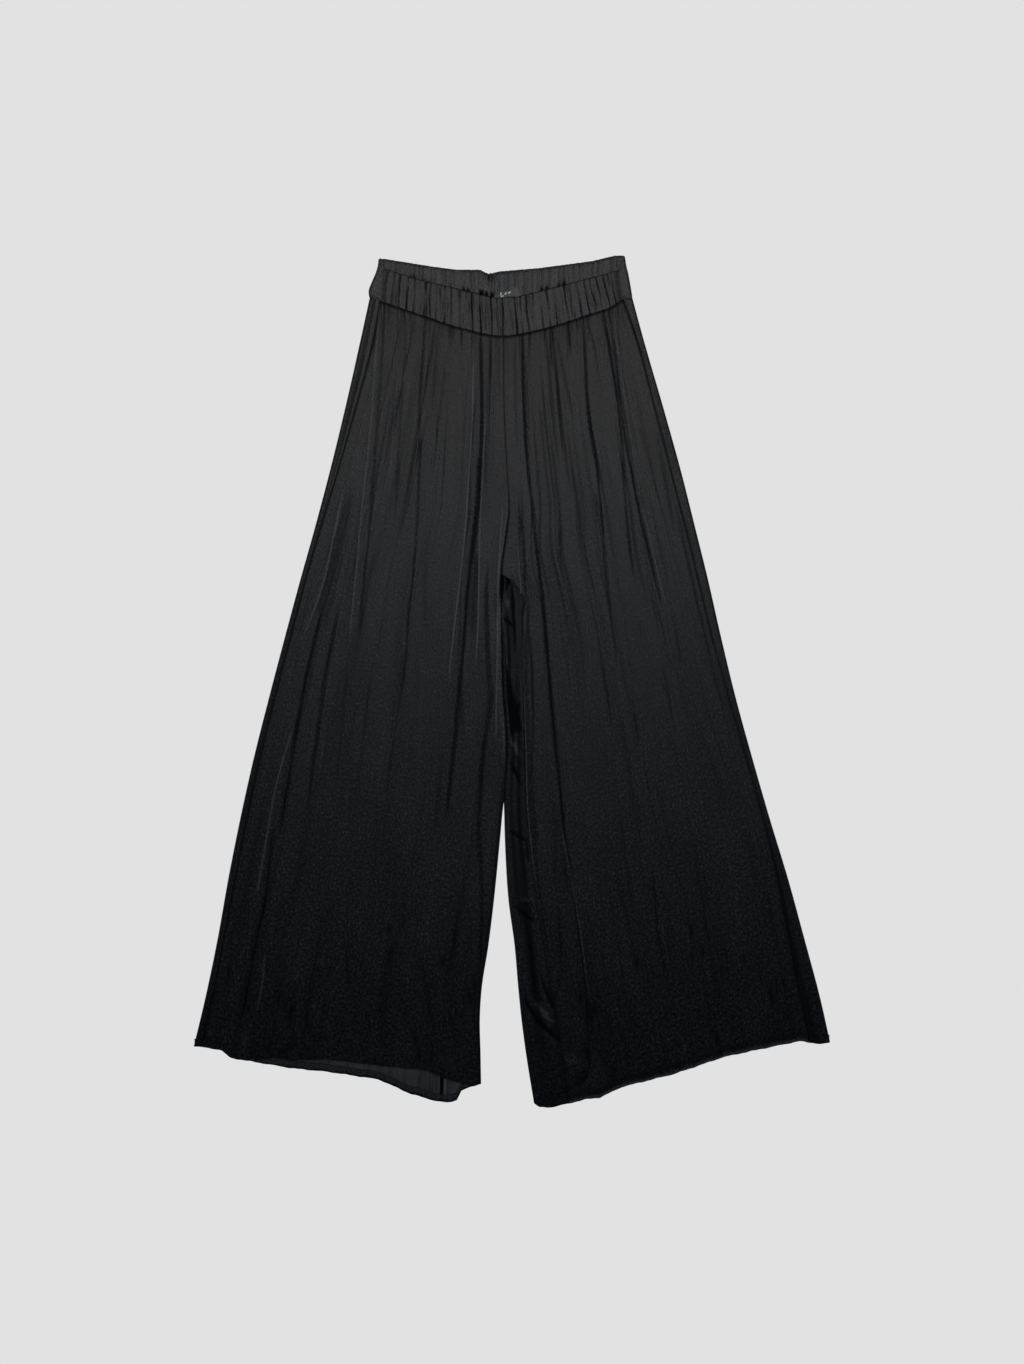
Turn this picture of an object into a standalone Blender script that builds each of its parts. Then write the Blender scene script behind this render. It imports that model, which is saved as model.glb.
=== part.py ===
"""Palazzo pants laid flat with the front up: two front and two back leg panels that
form a flattened tube for each leg, an elastic waistband in two halves, and a label.

Metres, +Z up, +Y towards the waist. The origin is on the floor under the middle.
Left and right are as seen from above.
"""

import math

import bmesh
import bpy
import numpy as np

# ---------------------------------------------------------------- driving dimensions

COLLECTION = "palazzo_pants"

LEG_WALL = 0.0012        # leg cloth with the air that its crinkle holds
BAND_WALL = 0.0016       # front casing: two layers of cloth over the elastic
BACK_BAND_WALL = 0.0020
SEAM_GAP = 0.0003        # between pieces that are sewn together
CROTCH_RELEASE = 0.0020  # how far the inseam parts just under the crotch

CROTCH_Y = 0.130         # where the two inseams and the centre seam meet
CENTRE_X = -0.0106       # centre front and centre back seam

FRONT_LEVEL = 0.0053     # top of the front cloth between its folds
CREASE_LEVEL = 0.0031    # top of the front cloth where a crease rests on the back
WAIST_LEVEL = 0.0060     # top of the leg cloth at the waistband
BAND_LEVEL = 0.0066      # top of the front waistband
SIDE_RADIUS = 0.0030     # the tube's turn at the edges of a leg
BAND_RADIUS = 0.0030     # and at the sides of the waistband
SEAM_RADIUS = 0.0018     # the turn of the seam allowances at the centre seam
ALLOWANCE = 0.0040       # width of those allowances
PARTED_AT = 0.015        # below the crotch, where the two layers have parted sideways
LOWERED_AT = 0.035       # and where the parted edges have sunk to their own level
OPENED_AT = 0.090        # and where the inner turns have opened to SIDE_RADIUS

CREST_OFFSET = 0.0065    # from a fold's crease to the crest beside it
CREST_SHARE = 0.32       # the most of the room to the next crease that it takes
DROP_SHARE = 0.4         # part of a fold's relief that lies under the plain cloth
DROP_LIMIT = 0.0020
LEAN_SHARE = 0.4         # how much a fold's lean moves its height to one crest

ROWS_ABOVE_CROTCH = 8
ROWS_BELOW_CROTCH = 16
CROTCH_SHARES = (0.0, 0.0115, 0.023, 0.038, 0.054)   # rows close under the crotch
FLOOR_COLUMNS = 12       # of a back leg panel, across the floor
FLAT_LIP = 0.004         # flat cloth beside a seam

LABEL_SIZE = (0.032, 0.014, 0.0004)
LABEL_CENTRE = (-0.0056, 0.4815)
LABEL_TURN = math.radians(23.0)
LABEL_LEVEL = 0.0023

BLACK_SATIN = (0.021, 0.022, 0.025)
BLACK_TAPE = (0.030, 0.030, 0.032)

# Outer edges and side seams of the legs: y, left edge, left seam, right seam, right edge
LEG_SIDES = (
    (0.480, -0.1781, -0.1644, 0.1385, 0.1506),
    (0.430, -0.1890, -0.1730, 0.1560, 0.1642),
    (0.345, -0.2081, -0.1948, 0.1780, 0.1888),
    (0.260, -0.2288, -0.2190, 0.1997, 0.2124),
    (0.195, -0.2460, -0.2385, 0.2165, 0.2287),
    (0.130, -0.2642, -0.2575, 0.2324, 0.2448),
    (0.055, -0.2844, -0.2770, 0.2507, 0.2618),
    (-0.020, -0.3041, -0.2966, 0.2711, 0.2800),
    (-0.095, -0.3230, -0.3150, 0.2926, 0.3006),
    (-0.170, -0.3397, -0.3310, 0.3138, 0.3222),
    (-0.245, -0.3547, -0.3460, 0.3316, 0.3450),
    (-0.320, -0.3680, -0.3600, 0.3459, 0.3655),
    (-0.395, -0.3836, -0.3753, 0.3607, 0.3855),
    (-0.455, -0.3980, -0.3890, 0.3740, 0.3990),
)

# Inner edges of the legs under the crotch: y, left leg, right leg
INNER_EDGES = (
    (0.130, -0.0112, -0.0103),
    (0.118, -0.0143, -0.0102),
    (0.102, -0.0140, -0.0129),
    (0.039, -0.0131, -0.0119),
    (-0.011, -0.0119, -0.0107),
    (-0.073, -0.0075, -0.0063),
    (-0.149, -0.0109, -0.0097),
    (-0.217, -0.0169, -0.0081),
    (-0.273, -0.0225, -0.0044),
    (-0.329, -0.0294, 0.0031),
    (-0.386, -0.0381, 0.0081),
    (-0.423, -0.0402, 0.0119),
    (-0.461, -0.0394, 0.0169),
    (-0.528, -0.0381, 0.0276),
)

# Inseams: y, width of the left front under its leg, x of the right inseam on top
INSEAMS = (
    (0.130, 0.0040, -0.0048),
    (0.115, 0.0045, 0.0090),
    (0.077, 0.0065, 0.0116),
    (-0.023, 0.0130, 0.0151),
    (-0.192, 0.0240, 0.0206),
    (-0.291, 0.0310, 0.0356),
    (-0.385, 0.0380, 0.0500),
    (-0.443, 0.0430, 0.0594),
    (-0.528, 0.0465, 0.0706),
)

# Folds of the fronts, in order from left to right: name, x at each station,
# relief at the waistband, the knee and the hem, and lean (-1 crest left, +1 right)
FOLD_STATIONS = (0.430, 0.260, 0.130, -0.020, -0.170, -0.320, -0.470)
RELIEF_STATIONS = (0.450, 0.020, -0.470)

LEFT_FOLDS = (
    ("outer", (-.168, -.193, -.228, -.261, -.291, -.318, -.353), (.0005, .0075, .0070), -.6),
    ("second", (-.163, -.185, -.212, -.237, -.258, -.268, -.251), (.0005, .0035, .0020), -.4),
    ("pocket_line", (-.158, -.174, -.184, -.193, -.204, -.207, -.193), (.0030, .0025, .0015), -.8),
    ("hip", (-.144, -.158, -.163, -.169, -.182, -.184, -.174), (.0026, .0010, .0005), .6),
    ("crease", (-.110, -.115, -.124, -.140, -.162, -.164, -.154), (.0034, .0030, .0012), .4),
    ("thigh", (-.088, -.093, -.099, -.119, -.128, -.122, -.091), (.0018, .0014, .0050), .6),
    ("gather", (-.062, -.063, -.076, -.093, -.106, -.097, -.078), (.0024, .0008, .0016), -.3),
    ("main", (-.039, -.040, -.053, -.067, -.082, -.072, -.064), (.0028, .0080, .0018), -.2),
    ("valley", (-.028, -.030, -.031, -.027, -.042, -.041, -.055), (.0028, .0050, .0020), .3),
)

RIGHT_FOLDS = (
    ("inner", (-.001, .005, .018, .027, .029, .046, .069), (.0010, .0035, .0035), -.5),
    ("main", (.013, .021, .036, .049, .064, .084, .097), (.0028, .0075, .0050), -.1),
    ("gather", (.048, .052, .064, .078, .093, .116, .136), (.0028, .0012, .0012), .4),
    ("thigh", (.072, .077, .091, .107, .127, .147, .164), (.0032, .0008, .0010), .2),
    ("crease", (.089, .107, .119, .138, .168, .184, .197), (.0032, .0020, .0026), .5),
    ("hip", (.119, .140, .153, .176, .202, .223, .238), (.0034, .0020, .0010), .2),
    ("pocket_line", (.126, .149, .179, .218, .232, .256, .273), (.0034, .0034, .0018), .7),
    ("outer", (.137, .173, .206, .243, .276, .296, .321), (.0018, .0010, .0014), .2),
)

# Crosswise wrinkles of the strip beside the right inseam: y, depth
STRIP_WRINKLES = (
    (-0.045, 0.0016),
    (-0.115, 0.0010),
    (-0.195, 0.0018),
    (-0.292, 0.0018),
    (-0.425, 0.0018),
    (-0.500, 0.0012),
)
WRINKLE_REACH = 0.016

# Waist seam, from side to side: x, y
WAIST_SEAM = (
    (-0.1781, 0.4806), (-0.1644, 0.4756), (-0.1156, 0.4587), (-0.0644, 0.4419),
    (-0.0106, 0.4319), (0.0356, 0.4400), (0.0894, 0.4564), (0.1294, 0.4714),
    (0.1388, 0.4778), (0.1506, 0.4796),
)

# Upper edges of the two waistband halves: x, y
FRONT_TOP = (
    (-0.1594, 0.5169), (-0.1156, 0.5031), (-0.0469, 0.4869), (-0.0194, 0.4806),
    (0.0069, 0.4819), (0.0556, 0.4944), (0.1119, 0.5088), (0.1331, 0.5150),
)
BACK_TOP = (
    (-0.1669, 0.5285), (-0.1594, 0.5275), (-0.1006, 0.5181), (-0.0694, 0.5140),
    (-0.0400, 0.5140), (-0.0306, 0.5094), (-0.0156, 0.5119), (0.0344, 0.5161),
    (0.1006, 0.5249), (0.1281, 0.5315), (0.1406, 0.5320),
)

# Sides of the waistband: y, left edge, left seam, right seam, right edge
BAND_SIDES = (
    (0.4790, -0.1781, -0.1644, 0.1388, 0.1508),
    (0.4890, -0.1794, -0.1635, 0.1370, 0.1494),
    (0.5000, -0.1755, -0.1622, 0.1355, 0.1475),
    (0.5120, -0.1704, -0.1605, 0.1340, 0.1452),
    (0.5200, -0.1680, -0.1594, 0.1331, 0.1432),
    (0.5300, -0.1669, -0.1580, 0.1320, 0.1416),
)

# Hems, by x: left front on top, left front where it turns under, left back, right leg
HEM_LEFT_TOP = (
    (-0.3981, -0.4544), (-0.3794, -0.4556), (-0.3644, -0.4594), (-0.3531, -0.4681),
    (-0.3119, -0.4725), (-0.2956, -0.4690), (-0.2731, -0.4728), (-0.2294, -0.4719),
    (-0.1669, -0.4794), (-0.1056, -0.4856), (-0.0856, -0.4956), (-0.0556, -0.5031),
    (-0.0386, -0.5031),
)
HEM_LEFT_UNDER = (
    (-0.0881, -0.5256), (-0.0806, -0.5264), (-0.0694, -0.5239), (-0.0631, -0.5115),
    (-0.0510, -0.5066), (-0.0386, -0.5031),
)
HEM_LEFT_BACK = (
    (-0.3981, -0.4556), (-0.3644, -0.4606), (-0.3525, -0.4706), (-0.2756, -0.4835),
    (-0.2294, -0.4881), (-0.1669, -0.4975), (-0.1275, -0.5153), (-0.0956, -0.5245),
    (-0.0881, -0.5256),
)
HEM_RIGHT = (
    (0.0276, -0.5276), (0.0344, -0.5320), (0.0506, -0.5320), (0.0940, -0.5219),
    (0.1103, -0.5200), (0.1374, -0.5068), (0.2025, -0.4906), (0.2644, -0.4694),
    (0.3106, -0.4594), (0.3594, -0.4494), (0.3869, -0.4531), (0.3986, -0.4511),
)
BACK_HEM_LIFT = 0.0025   # the right back's hem, hidden under the front's

# Gathers of the front waistband: x at mid-height, depth
FRONT_GATHERS = (
    (-0.1488, .0010), (-0.1401, .0013), (-0.1301, .0017), (-0.1219, .0008),
    (-0.1079, .0017), (-0.1014, .0011), (-0.0938, .0008), (-0.0835, .0014),
    (-0.0756, .0008), (-0.0650, .0014), (-0.0569, .0008), (-0.0498, .0012),
    (-0.0398, .0018), (-0.0338, .0008), (-0.0269, .0018), (-0.0194, .0007),
    (-0.0131, .0015), (0.0029, .0016), (0.0094, .0011), (0.0169, .0013),
    (0.0256, .0007), (0.0344, .0008), (0.0431, .0013), (0.0519, .0013),
    (0.0656, .0017), (0.0731, .0008), (0.0819, .0015), (0.0919, .0013),
    (0.0994, .0008), (0.1076, .0014), (0.1169, .0012), (0.1262, .0014),
)
GATHER_LEAN = 0.03         # how far a right gather's top leans inwards, for each metre
                           # that it stands from the centre, beside the band's own taper
PUFF = 0.0004              # rise of the cloth between two gathers

BACK_GATHERS = 30          # inside the back waistband
BACK_JITTER = 0.0016
THIN_SHARE = 0.70          # wall left at the back's gathers, as a part of its wall

BAND_ROWS = (0.0, 0.10, 0.36, 0.64, 0.90, 1.0)
BACK_BAND_ROWS = (0.0, 0.45, 0.75, 1.0)
TURN_STEPS = 4             # facets round the turn at an edge


# ---------------------------------------------------------------- curves and sections

def smooth(stations, values, at):
    """Value at one place on a soft curve through a table, straight beyond its ends."""
    order = np.argsort(stations)
    s = np.array(stations, dtype=float)[order]
    v = np.array(values, dtype=float)[order]
    slope = np.gradient(v, s)
    if at <= s[0]:
        return float(v[0] + (at - s[0]) * slope[0])
    if at >= s[-1]:
        return float(v[-1] + (at - s[-1]) * slope[-1])
    i = int(np.searchsorted(s, at)) - 1
    span = s[i + 1] - s[i]
    t = (at - s[i]) / span
    start = (1 + 2 * t) * (1 - t) ** 2 * v[i] + t * (1 - t) ** 2 * span * slope[i]
    end = t * t * (3 - 2 * t) * v[i + 1] + t * t * (t - 1) * span * slope[i + 1]
    return float(start + end)


def column(table, index, at):
    """One named column of a table of rows that start with y."""
    return smooth([row[0] for row in table], [row[index] for row in table], at)


def edge_y(points, x):
    """Y of an edge that is given as points in order of x."""
    return float(np.interp(x, [p[0] for p in points], [p[1] for p in points]))


def seam_y(x):
    """Y of the waist seam, a soft curve that is lowest at the centre."""
    return smooth([p[0] for p in WAIST_SEAM], [p[1] for p in WAIST_SEAM], x)


def back_seam_y(x):
    """Y of the waist seam of the back, on the floor, from the centre to a side's turn."""
    facing = -1 if x < CENTRE_X else 1
    side_x, side_y = WAIST_SEAM[0] if facing < 0 else WAIST_SEAM[-1]
    along = (x - CENTRE_X) / (side_x - facing * SIDE_RADIUS - CENTRE_X)
    return blend(seam_y(CENTRE_X), side_y, min(along * along, 1.0))


def blend(a, b, t):
    return a + (b - a) * t


def soft_step(low, high, at):
    t = min(max((at - low) / (high - low), 0.0), 1.0)
    return t * t * (3 - 2 * t)


def left_edge(y):
    return column(LEG_SIDES, 1, y)


def left_seam(y):
    return column(LEG_SIDES, 2, y)


def right_seam(y):
    return column(LEG_SIDES, 3, y)


def right_edge(y):
    return column(LEG_SIDES, 4, y)


def left_inner(y):
    return CENTRE_X - SEAM_GAP / 2 if y >= CROTCH_Y else column(INNER_EDGES, 1, y)


def right_inner(y):
    return CENTRE_X + SEAM_GAP / 2 if y >= CROTCH_Y else column(INNER_EDGES, 2, y)


def parted(y):
    """How far the two layers have parted sideways below the crotch, from 0 to 1."""
    return soft_step(0.0, PARTED_AT, CROTCH_Y - y)


def lowered(y):
    """How far the parted edges have sunk to their own level, from 0 to 1."""
    return soft_step(PARTED_AT, LOWERED_AT, CROTCH_Y - y)


def inner_radius(y):
    """Radius of the turn at the inner edge, which opens below the crotch."""
    return blend(SEAM_RADIUS, SIDE_RADIUS, soft_step(PARTED_AT, OPENED_AT, CROTCH_Y - y))


def release(y):
    """Extra room at the inseam where it leaves the crotch."""
    return CROTCH_RELEASE * (1.0 - soft_step(LOWERED_AT, OPENED_AT, CROTCH_Y - y))


def under_width(y):
    """Width of the left front that is folded under."""
    return ALLOWANCE if y >= CROTCH_Y else column(INSEAMS, 1, y)


def right_inseam(y):
    """X of the right leg's inseam, which is hidden under the front above the crotch."""
    if y >= CROTCH_Y:
        return CENTRE_X + SEAM_RADIUS + ALLOWANCE
    return column(INSEAMS, 2, y)


def turn(x, radius, facing, upwards):
    """Points (x, z) round an edge: facing -1 is a left edge, +1 a right one."""
    angles = [math.pi * k / TURN_STEPS for k in range(TURN_STEPS + 1)]
    if upwards:
        angles.reverse()
    centre = x - facing * radius
    return [(centre + facing * radius * math.sin(a), radius * (1 + math.cos(a))) for a in angles]


def front_level(y):
    """Height of the plain front cloth, which rises to the waistband."""
    return blend(FRONT_LEVEL, WAIST_LEVEL, soft_step(0.34, 0.44, y))


def fold_columns(folds, y, start, end):
    """Crest, crease and crest of each fold at one height along the leg, as (x, z)."""
    creases = [smooth(FOLD_STATIONS, row[1], y) for row in folds]
    bounds = [start] + creases + [end]
    points = []
    for k, (name, stations, reliefs, lean) in enumerate(folds):
        x = creases[k]
        room = min(x - bounds[k], bounds[k + 2] - x)
        reach = min(CREST_OFFSET, CREST_SHARE * room)
        relief = max(smooth(RELIEF_STATIONS, reliefs, y), 0.0)
        level = front_level(y)
        drop = min(DROP_SHARE * relief, DROP_LIMIT, level - CREASE_LEVEL)
        bottom = level - drop
        rise_left = relief * (0.6 - LEAN_SHARE * lean)
        rise_right = relief * (0.6 + LEAN_SHARE * lean)
        points.append((x - reach, max(level, bottom + rise_left)))
        points.append((x, bottom))
        points.append((x + reach, max(level, bottom + rise_right)))
    return points


def strip_level(y):
    """Height of the strip beside the right inseam, with its crosswise wrinkles."""
    dip = sum(depth * math.exp(-((y - at) / WRINKLE_REACH) ** 2) for at, depth in STRIP_WRINKLES)
    return 2 * inner_radius(y) - dip


# ---------------------------------------------------------------- sections of each panel

def left_front_section(y):
    """From the side seam over the top, round the inner edge and under it to the inseam."""
    seam = left_seam(y) + SEAM_GAP / 2
    inner = left_inner(y)
    radius = inner_radius(y)
    rest = (front_level(y) - 2 * radius) * (1.0 - lowered(y))
    turn_points = [(x, rest + z) for x, z in turn(inner, radius, 1, upwards=False)]
    under = [(inner - radius - under_width(y) * share, rest) for share in (0.42, 0.62, 1.0)]
    folds = fold_columns(LEFT_FOLDS, y, seam, inner - radius)
    return [(seam, blend(2 * SIDE_RADIUS, FRONT_LEVEL, 0.4))] + folds + turn_points + under


def right_front_section(y):
    """From the inseam, or the centre seam above the crotch, over to the side seam."""
    seam = right_seam(y) - SEAM_GAP / 2
    start = blend(CENTRE_X + SEAM_GAP / 2, right_inseam(y) + SEAM_GAP / 2 + release(y), parted(y))
    height = blend(front_level(y), 2 * inner_radius(y), lowered(y))
    folds = fold_columns(RIGHT_FOLDS, y, start, seam)
    first_crease = folds[1][0]
    reach = min(FLAT_LIP, CREST_SHARE * (first_crease - start))
    lip = [(start, height), (start + reach, height)]
    return lip + folds + [(seam, blend(2 * SIDE_RADIUS, FRONT_LEVEL, 0.4))]


def left_back_section(y):
    """From the inseam along the floor, up round the outer edge to the side seam."""
    inseam = left_inner(y) - inner_radius(y) - under_width(y) - SEAM_GAP - release(y)
    start = blend(CENTRE_X - SEAM_GAP / 2, inseam, parted(y))
    edge = left_edge(y)
    seam = left_seam(y) - SEAM_GAP / 2
    floor = [(blend(start, edge + SIDE_RADIUS, k / FLOOR_COLUMNS), 0.0)
             for k in range(FLOOR_COLUMNS)]
    outer_turn = turn(edge, SIDE_RADIUS, -1, upwards=True)
    return floor + outer_turn + [(seam, blend(2 * SIDE_RADIUS, FRONT_LEVEL, 0.4))]


def right_back_section(y):
    """From the side seam round the outer edge, along the floor, up round the inner edge."""
    seam = right_seam(y) + SEAM_GAP / 2
    edge = right_edge(y)
    outer_turn = turn(edge, SIDE_RADIUS, 1, upwards=False)
    inner = right_inner(y)
    radius = inner_radius(y)
    inseam = right_inseam(y) - SEAM_GAP / 2
    inner_turn = turn(inner, radius, -1, upwards=True)
    strip = [(blend(inner + radius, inseam, 0.5), strip_level(y)), (inseam, 2 * radius)]
    floor = [(blend(edge - SIDE_RADIUS, inner + radius, k / FLOOR_COLUMNS), 0.0)
             for k in range(1, FLOOR_COLUMNS)]
    first = (seam, blend(2 * SIDE_RADIUS, FRONT_LEVEL, 0.4))
    return [first] + outer_turn + floor + inner_turn + strip


def leg_rows():
    """Where the rows lie: (is below the crotch, share of the way), finer at the crotch."""
    above = [(False, (k / ROWS_ABOVE_CROTCH) ** 1.15) for k in range(ROWS_ABOVE_CROTCH)]
    close = [(True, share) for share in CROTCH_SHARES]
    below = [(True, k / ROWS_BELOW_CROTCH) for k in range(2, ROWS_BELOW_CROTCH + 1)]
    return above + close + below


def leg_grid(section, waist, hem):
    """Rows of points from the waist seam to the hem, one column for each section point.

    waist(index, x) and hem(index, x) give a column's ends; a section gives (x, z) at a y.
    """
    count = len(section(CROTCH_Y))
    top_y = [0.45] * count
    hem_y = [-0.49] * count
    for _ in range(4):
        top_y = [waist(c, section(top_y[c])[c][0]) - SEAM_GAP / 2 for c in range(count)]
        hem_y = [hem(c, section(hem_y[c])[c][0]) for c in range(count)]
    centre_top = seam_y(CENTRE_X)
    middle_y = [CROTCH_Y + 0.5 * (y - centre_top + SEAM_GAP / 2) for y in top_y]
    grid = []
    for below, share in leg_rows():
        row = []
        for c in range(count):
            if below:
                y = blend(middle_y[c], hem_y[c], share)
            else:
                y = blend(top_y[c], middle_y[c], share)
            x, z = section(y)[c]
            row.append((x, y, z))
        grid.append(row)
    return grid


# ---------------------------------------------------------------- waistband

def front_band_grid():
    """The gathered front half: a crease at each gather, two crests between gathers."""
    start = column(BAND_SIDES, 2, 0.4980)
    end = column(BAND_SIDES, 3, 0.4980)
    lines = [start] + [x for x, depth in FRONT_GATHERS] + [end]
    depths = [0.0] + [depth for x, depth in FRONT_GATHERS] + [0.0]
    places = []
    for k in range(len(lines) - 1):
        puff = PUFF * min((lines[k + 1] - lines[k]) / 0.008, 1.0)
        places.append((lines[k], -depths[k]))
        places.append((blend(lines[k], lines[k + 1], 0.32), puff))
        places.append((blend(lines[k], lines[k + 1], 0.68), puff))
    places.append((lines[-1], 0.0))
    rows = []
    for share in BAND_ROWS[::-1]:
        row = []
        for x, lift in places:
            lean = GATHER_LEAN * max(x - CENTRE_X, 0.0) * soft_step(0.0, 0.025, end - x)
            across = x
            for _ in range(3):
                y = blend(seam_y(across) + SEAM_GAP / 2, edge_y(FRONT_TOP, across), share)
                low = column(BAND_SIDES, 2, y) + SEAM_GAP / 2
                high = column(BAND_SIDES, 3, y) - SEAM_GAP / 2
                across = blend(low, high, (x - start) / (end - start)) - (share - 0.5) * lean
            side = soft_step(0.0, 0.012, min(across - low, high - across))
            z = blend(2 * BAND_RADIUS, BAND_LEVEL, side) + lift * side
            row.append((across, y, z))
        rows.append(row)
    return rows


def back_band_grid():
    """The back half: a strip and a turn at each side, and a flat run on the floor.

    Returns the grid and, for each column, the share of the wall that it keeps.
    """
    steps = BACK_GATHERS * 3
    shares = [1.0] * (TURN_STEPS + 2)
    inside = []
    for k in range(steps + 1):
        wobble = BACK_JITTER * math.sin(k // 3 * 2.4)
        inside.append((k / steps, wobble))
    floor_shares = [THIN_SHARE if k % 3 == 0 else 1.0 for k in range(steps + 1)]
    shares = shares + floor_shares[1:-1] + shares
    rows = []
    for share in BACK_BAND_ROWS[::-1]:
        def y_at(seam, top):
            return blend(seam + SEAM_GAP / 2, top, share)

        right_top = edge_y(BACK_TOP, 0.1406)
        left_top = edge_y(BACK_TOP, -0.1669)
        seam_top_right = edge_y(FRONT_TOP, 0.1331)
        seam_top_left = edge_y(FRONT_TOP, -0.1594)
        y_right = y_at(WAIST_SEAM[-1][1], right_top)
        y_left = y_at(WAIST_SEAM[0][1], left_top)
        edge_right = column(BAND_SIDES, 4, y_right)
        edge_left = column(BAND_SIDES, 1, y_left)
        y_seam_right = y_at(seam_y(0.1388), seam_top_right)
        y_seam_left = y_at(seam_y(-0.1644), seam_top_left)
        seam_right = column(BAND_SIDES, 3, y_seam_right) + SEAM_GAP / 2
        seam_left = column(BAND_SIDES, 2, y_seam_left) - SEAM_GAP / 2
        row = [(seam_right, y_seam_right, 2 * BAND_RADIUS)]
        row += [(x, y_right, z) for x, z in turn(edge_right, BAND_RADIUS, 1, upwards=False)]
        first = edge_right - BAND_RADIUS
        last = edge_left + BAND_RADIUS
        for along, wobble in inside[1:-1]:
            x = blend(first, last, along) + wobble
            row.append((x, y_at(back_seam_y(x), edge_y(BACK_TOP, x)), 0.0))
        row += [(x, y_left, z) for x, z in turn(edge_left, BAND_RADIUS, -1, upwards=True)]
        row += [(seam_left, y_seam_left, 2 * BAND_RADIUS)]
        rows.append(row)
    return rows, shares


# ---------------------------------------------------------------- making the pieces

def satin(name, color, roughness):
    material = bpy.data.materials.new(name)
    material.use_nodes = True
    shader = material.node_tree.nodes["Principled BSDF"]
    shader.inputs["Base Color"].default_value = (*color, 1.0)
    shader.inputs["Roughness"].default_value = roughness
    shader.inputs["Metallic"].default_value = 0.0
    return material


def sewn_panel(name, grid, wall, material, collection, shares=None):
    """A panel lofted through its rows, with its wall given inwards by Solidify."""
    bm = bmesh.new()
    rows = [[bm.verts.new(point) for point in row] for row in grid]
    for upper, lower in zip(rows, rows[1:]):
        for k in range(len(upper) - 1):
            bm.faces.new((upper[k], lower[k], lower[k + 1], upper[k + 1]))
    mesh = bpy.data.meshes.new(name)
    bm.to_mesh(mesh)
    bm.free()
    mesh.materials.append(material)
    panel = bpy.data.objects.new(name, mesh)
    collection.objects.link(panel)
    solidify = panel.modifiers.new("wall", "SOLIDIFY")
    solidify.thickness = wall
    solidify.offset = -1.0
    solidify.use_even_offset = False
    if shares is not None:
        group = panel.vertex_groups.new(name="wall_share")
        width = len(grid[0])
        for index in range(len(mesh.vertices)):
            group.add([index], shares[index % width], "REPLACE")
        solidify.vertex_group = group.name
    mesh.shade_smooth()
    return panel


def make_label(material, collection):
    bpy.ops.mesh.primitive_cube_add(size=1.0)
    label = bpy.context.object
    label.name = "label"
    label.data.name = "label"
    label.scale = LABEL_SIZE
    label.location = (*LABEL_CENTRE, LABEL_LEVEL + LABEL_SIZE[2] / 2)
    label.rotation_euler = (0.0, 0.0, LABEL_TURN)
    label.data.materials.append(material)
    for other in label.users_collection:
        other.objects.unlink(label)
    collection.objects.link(label)
    return label


def main():
    for old in list(bpy.data.objects):
        bpy.data.objects.remove(old, do_unlink=True)
    collection = bpy.data.collections.new(COLLECTION)
    bpy.context.scene.collection.children.link(collection)

    cloth = satin("black_satin", BLACK_SATIN, 0.42)
    tape = satin("label_tape", BLACK_TAPE, 0.60)

    turned_under = len(left_front_section(CROTCH_Y)) - 3

    def left_front_hem(index, x):
        return edge_y(HEM_LEFT_UNDER if index >= turned_under else HEM_LEFT_TOP, x)

    def left_back_hem(index, x):
        return edge_y(HEM_LEFT_BACK, x)

    def right_front_hem(index, x):
        return edge_y(HEM_RIGHT, x)

    last_back = len(right_back_section(CROTCH_Y)) - 1

    def right_back_hem(index, x):
        hidden = TURN_STEPS < index < last_back - TURN_STEPS - 1
        return edge_y(HEM_RIGHT, x) + (BACK_HEM_LIFT if hidden else 0.0)

    def front_waist(index, x):
        return seam_y(x)

    def left_back_waist(index, x):
        if index == FLOOR_COLUMNS + TURN_STEPS + 1:
            return seam_y(x)
        if index >= FLOOR_COLUMNS:
            return WAIST_SEAM[0][1]
        return back_seam_y(x)

    def right_back_waist(index, x):
        if index == 0:
            return seam_y(x)
        if index <= TURN_STEPS + 1:
            return WAIST_SEAM[-1][1]
        return back_seam_y(x)

    panels = (
        ("leg_front_left", left_front_section, front_waist, left_front_hem),
        ("leg_front_right", right_front_section, front_waist, right_front_hem),
        ("leg_back_left", left_back_section, left_back_waist, left_back_hem),
        ("leg_back_right", right_back_section, right_back_waist, right_back_hem),
    )
    for name, section, waist, hem in panels:
        sewn_panel(name, leg_grid(section, waist, hem), LEG_WALL, cloth, collection)

    sewn_panel("waistband_front", front_band_grid(), BAND_WALL, cloth, collection)
    grid, shares = back_band_grid()
    sewn_panel("waistband_back", grid, BACK_BAND_WALL, cloth, collection, shares)
    make_label(tape, collection)


main()
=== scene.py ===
"""Palazzo pants in black crinkled satin, laid flat with the front up.

Metres, +Z up, +Y towards the waist; left and right are as seen from above. Each panel
is a thin cloth shell on the form of its solid, with its folds placed one by one.
"""
import math

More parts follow.
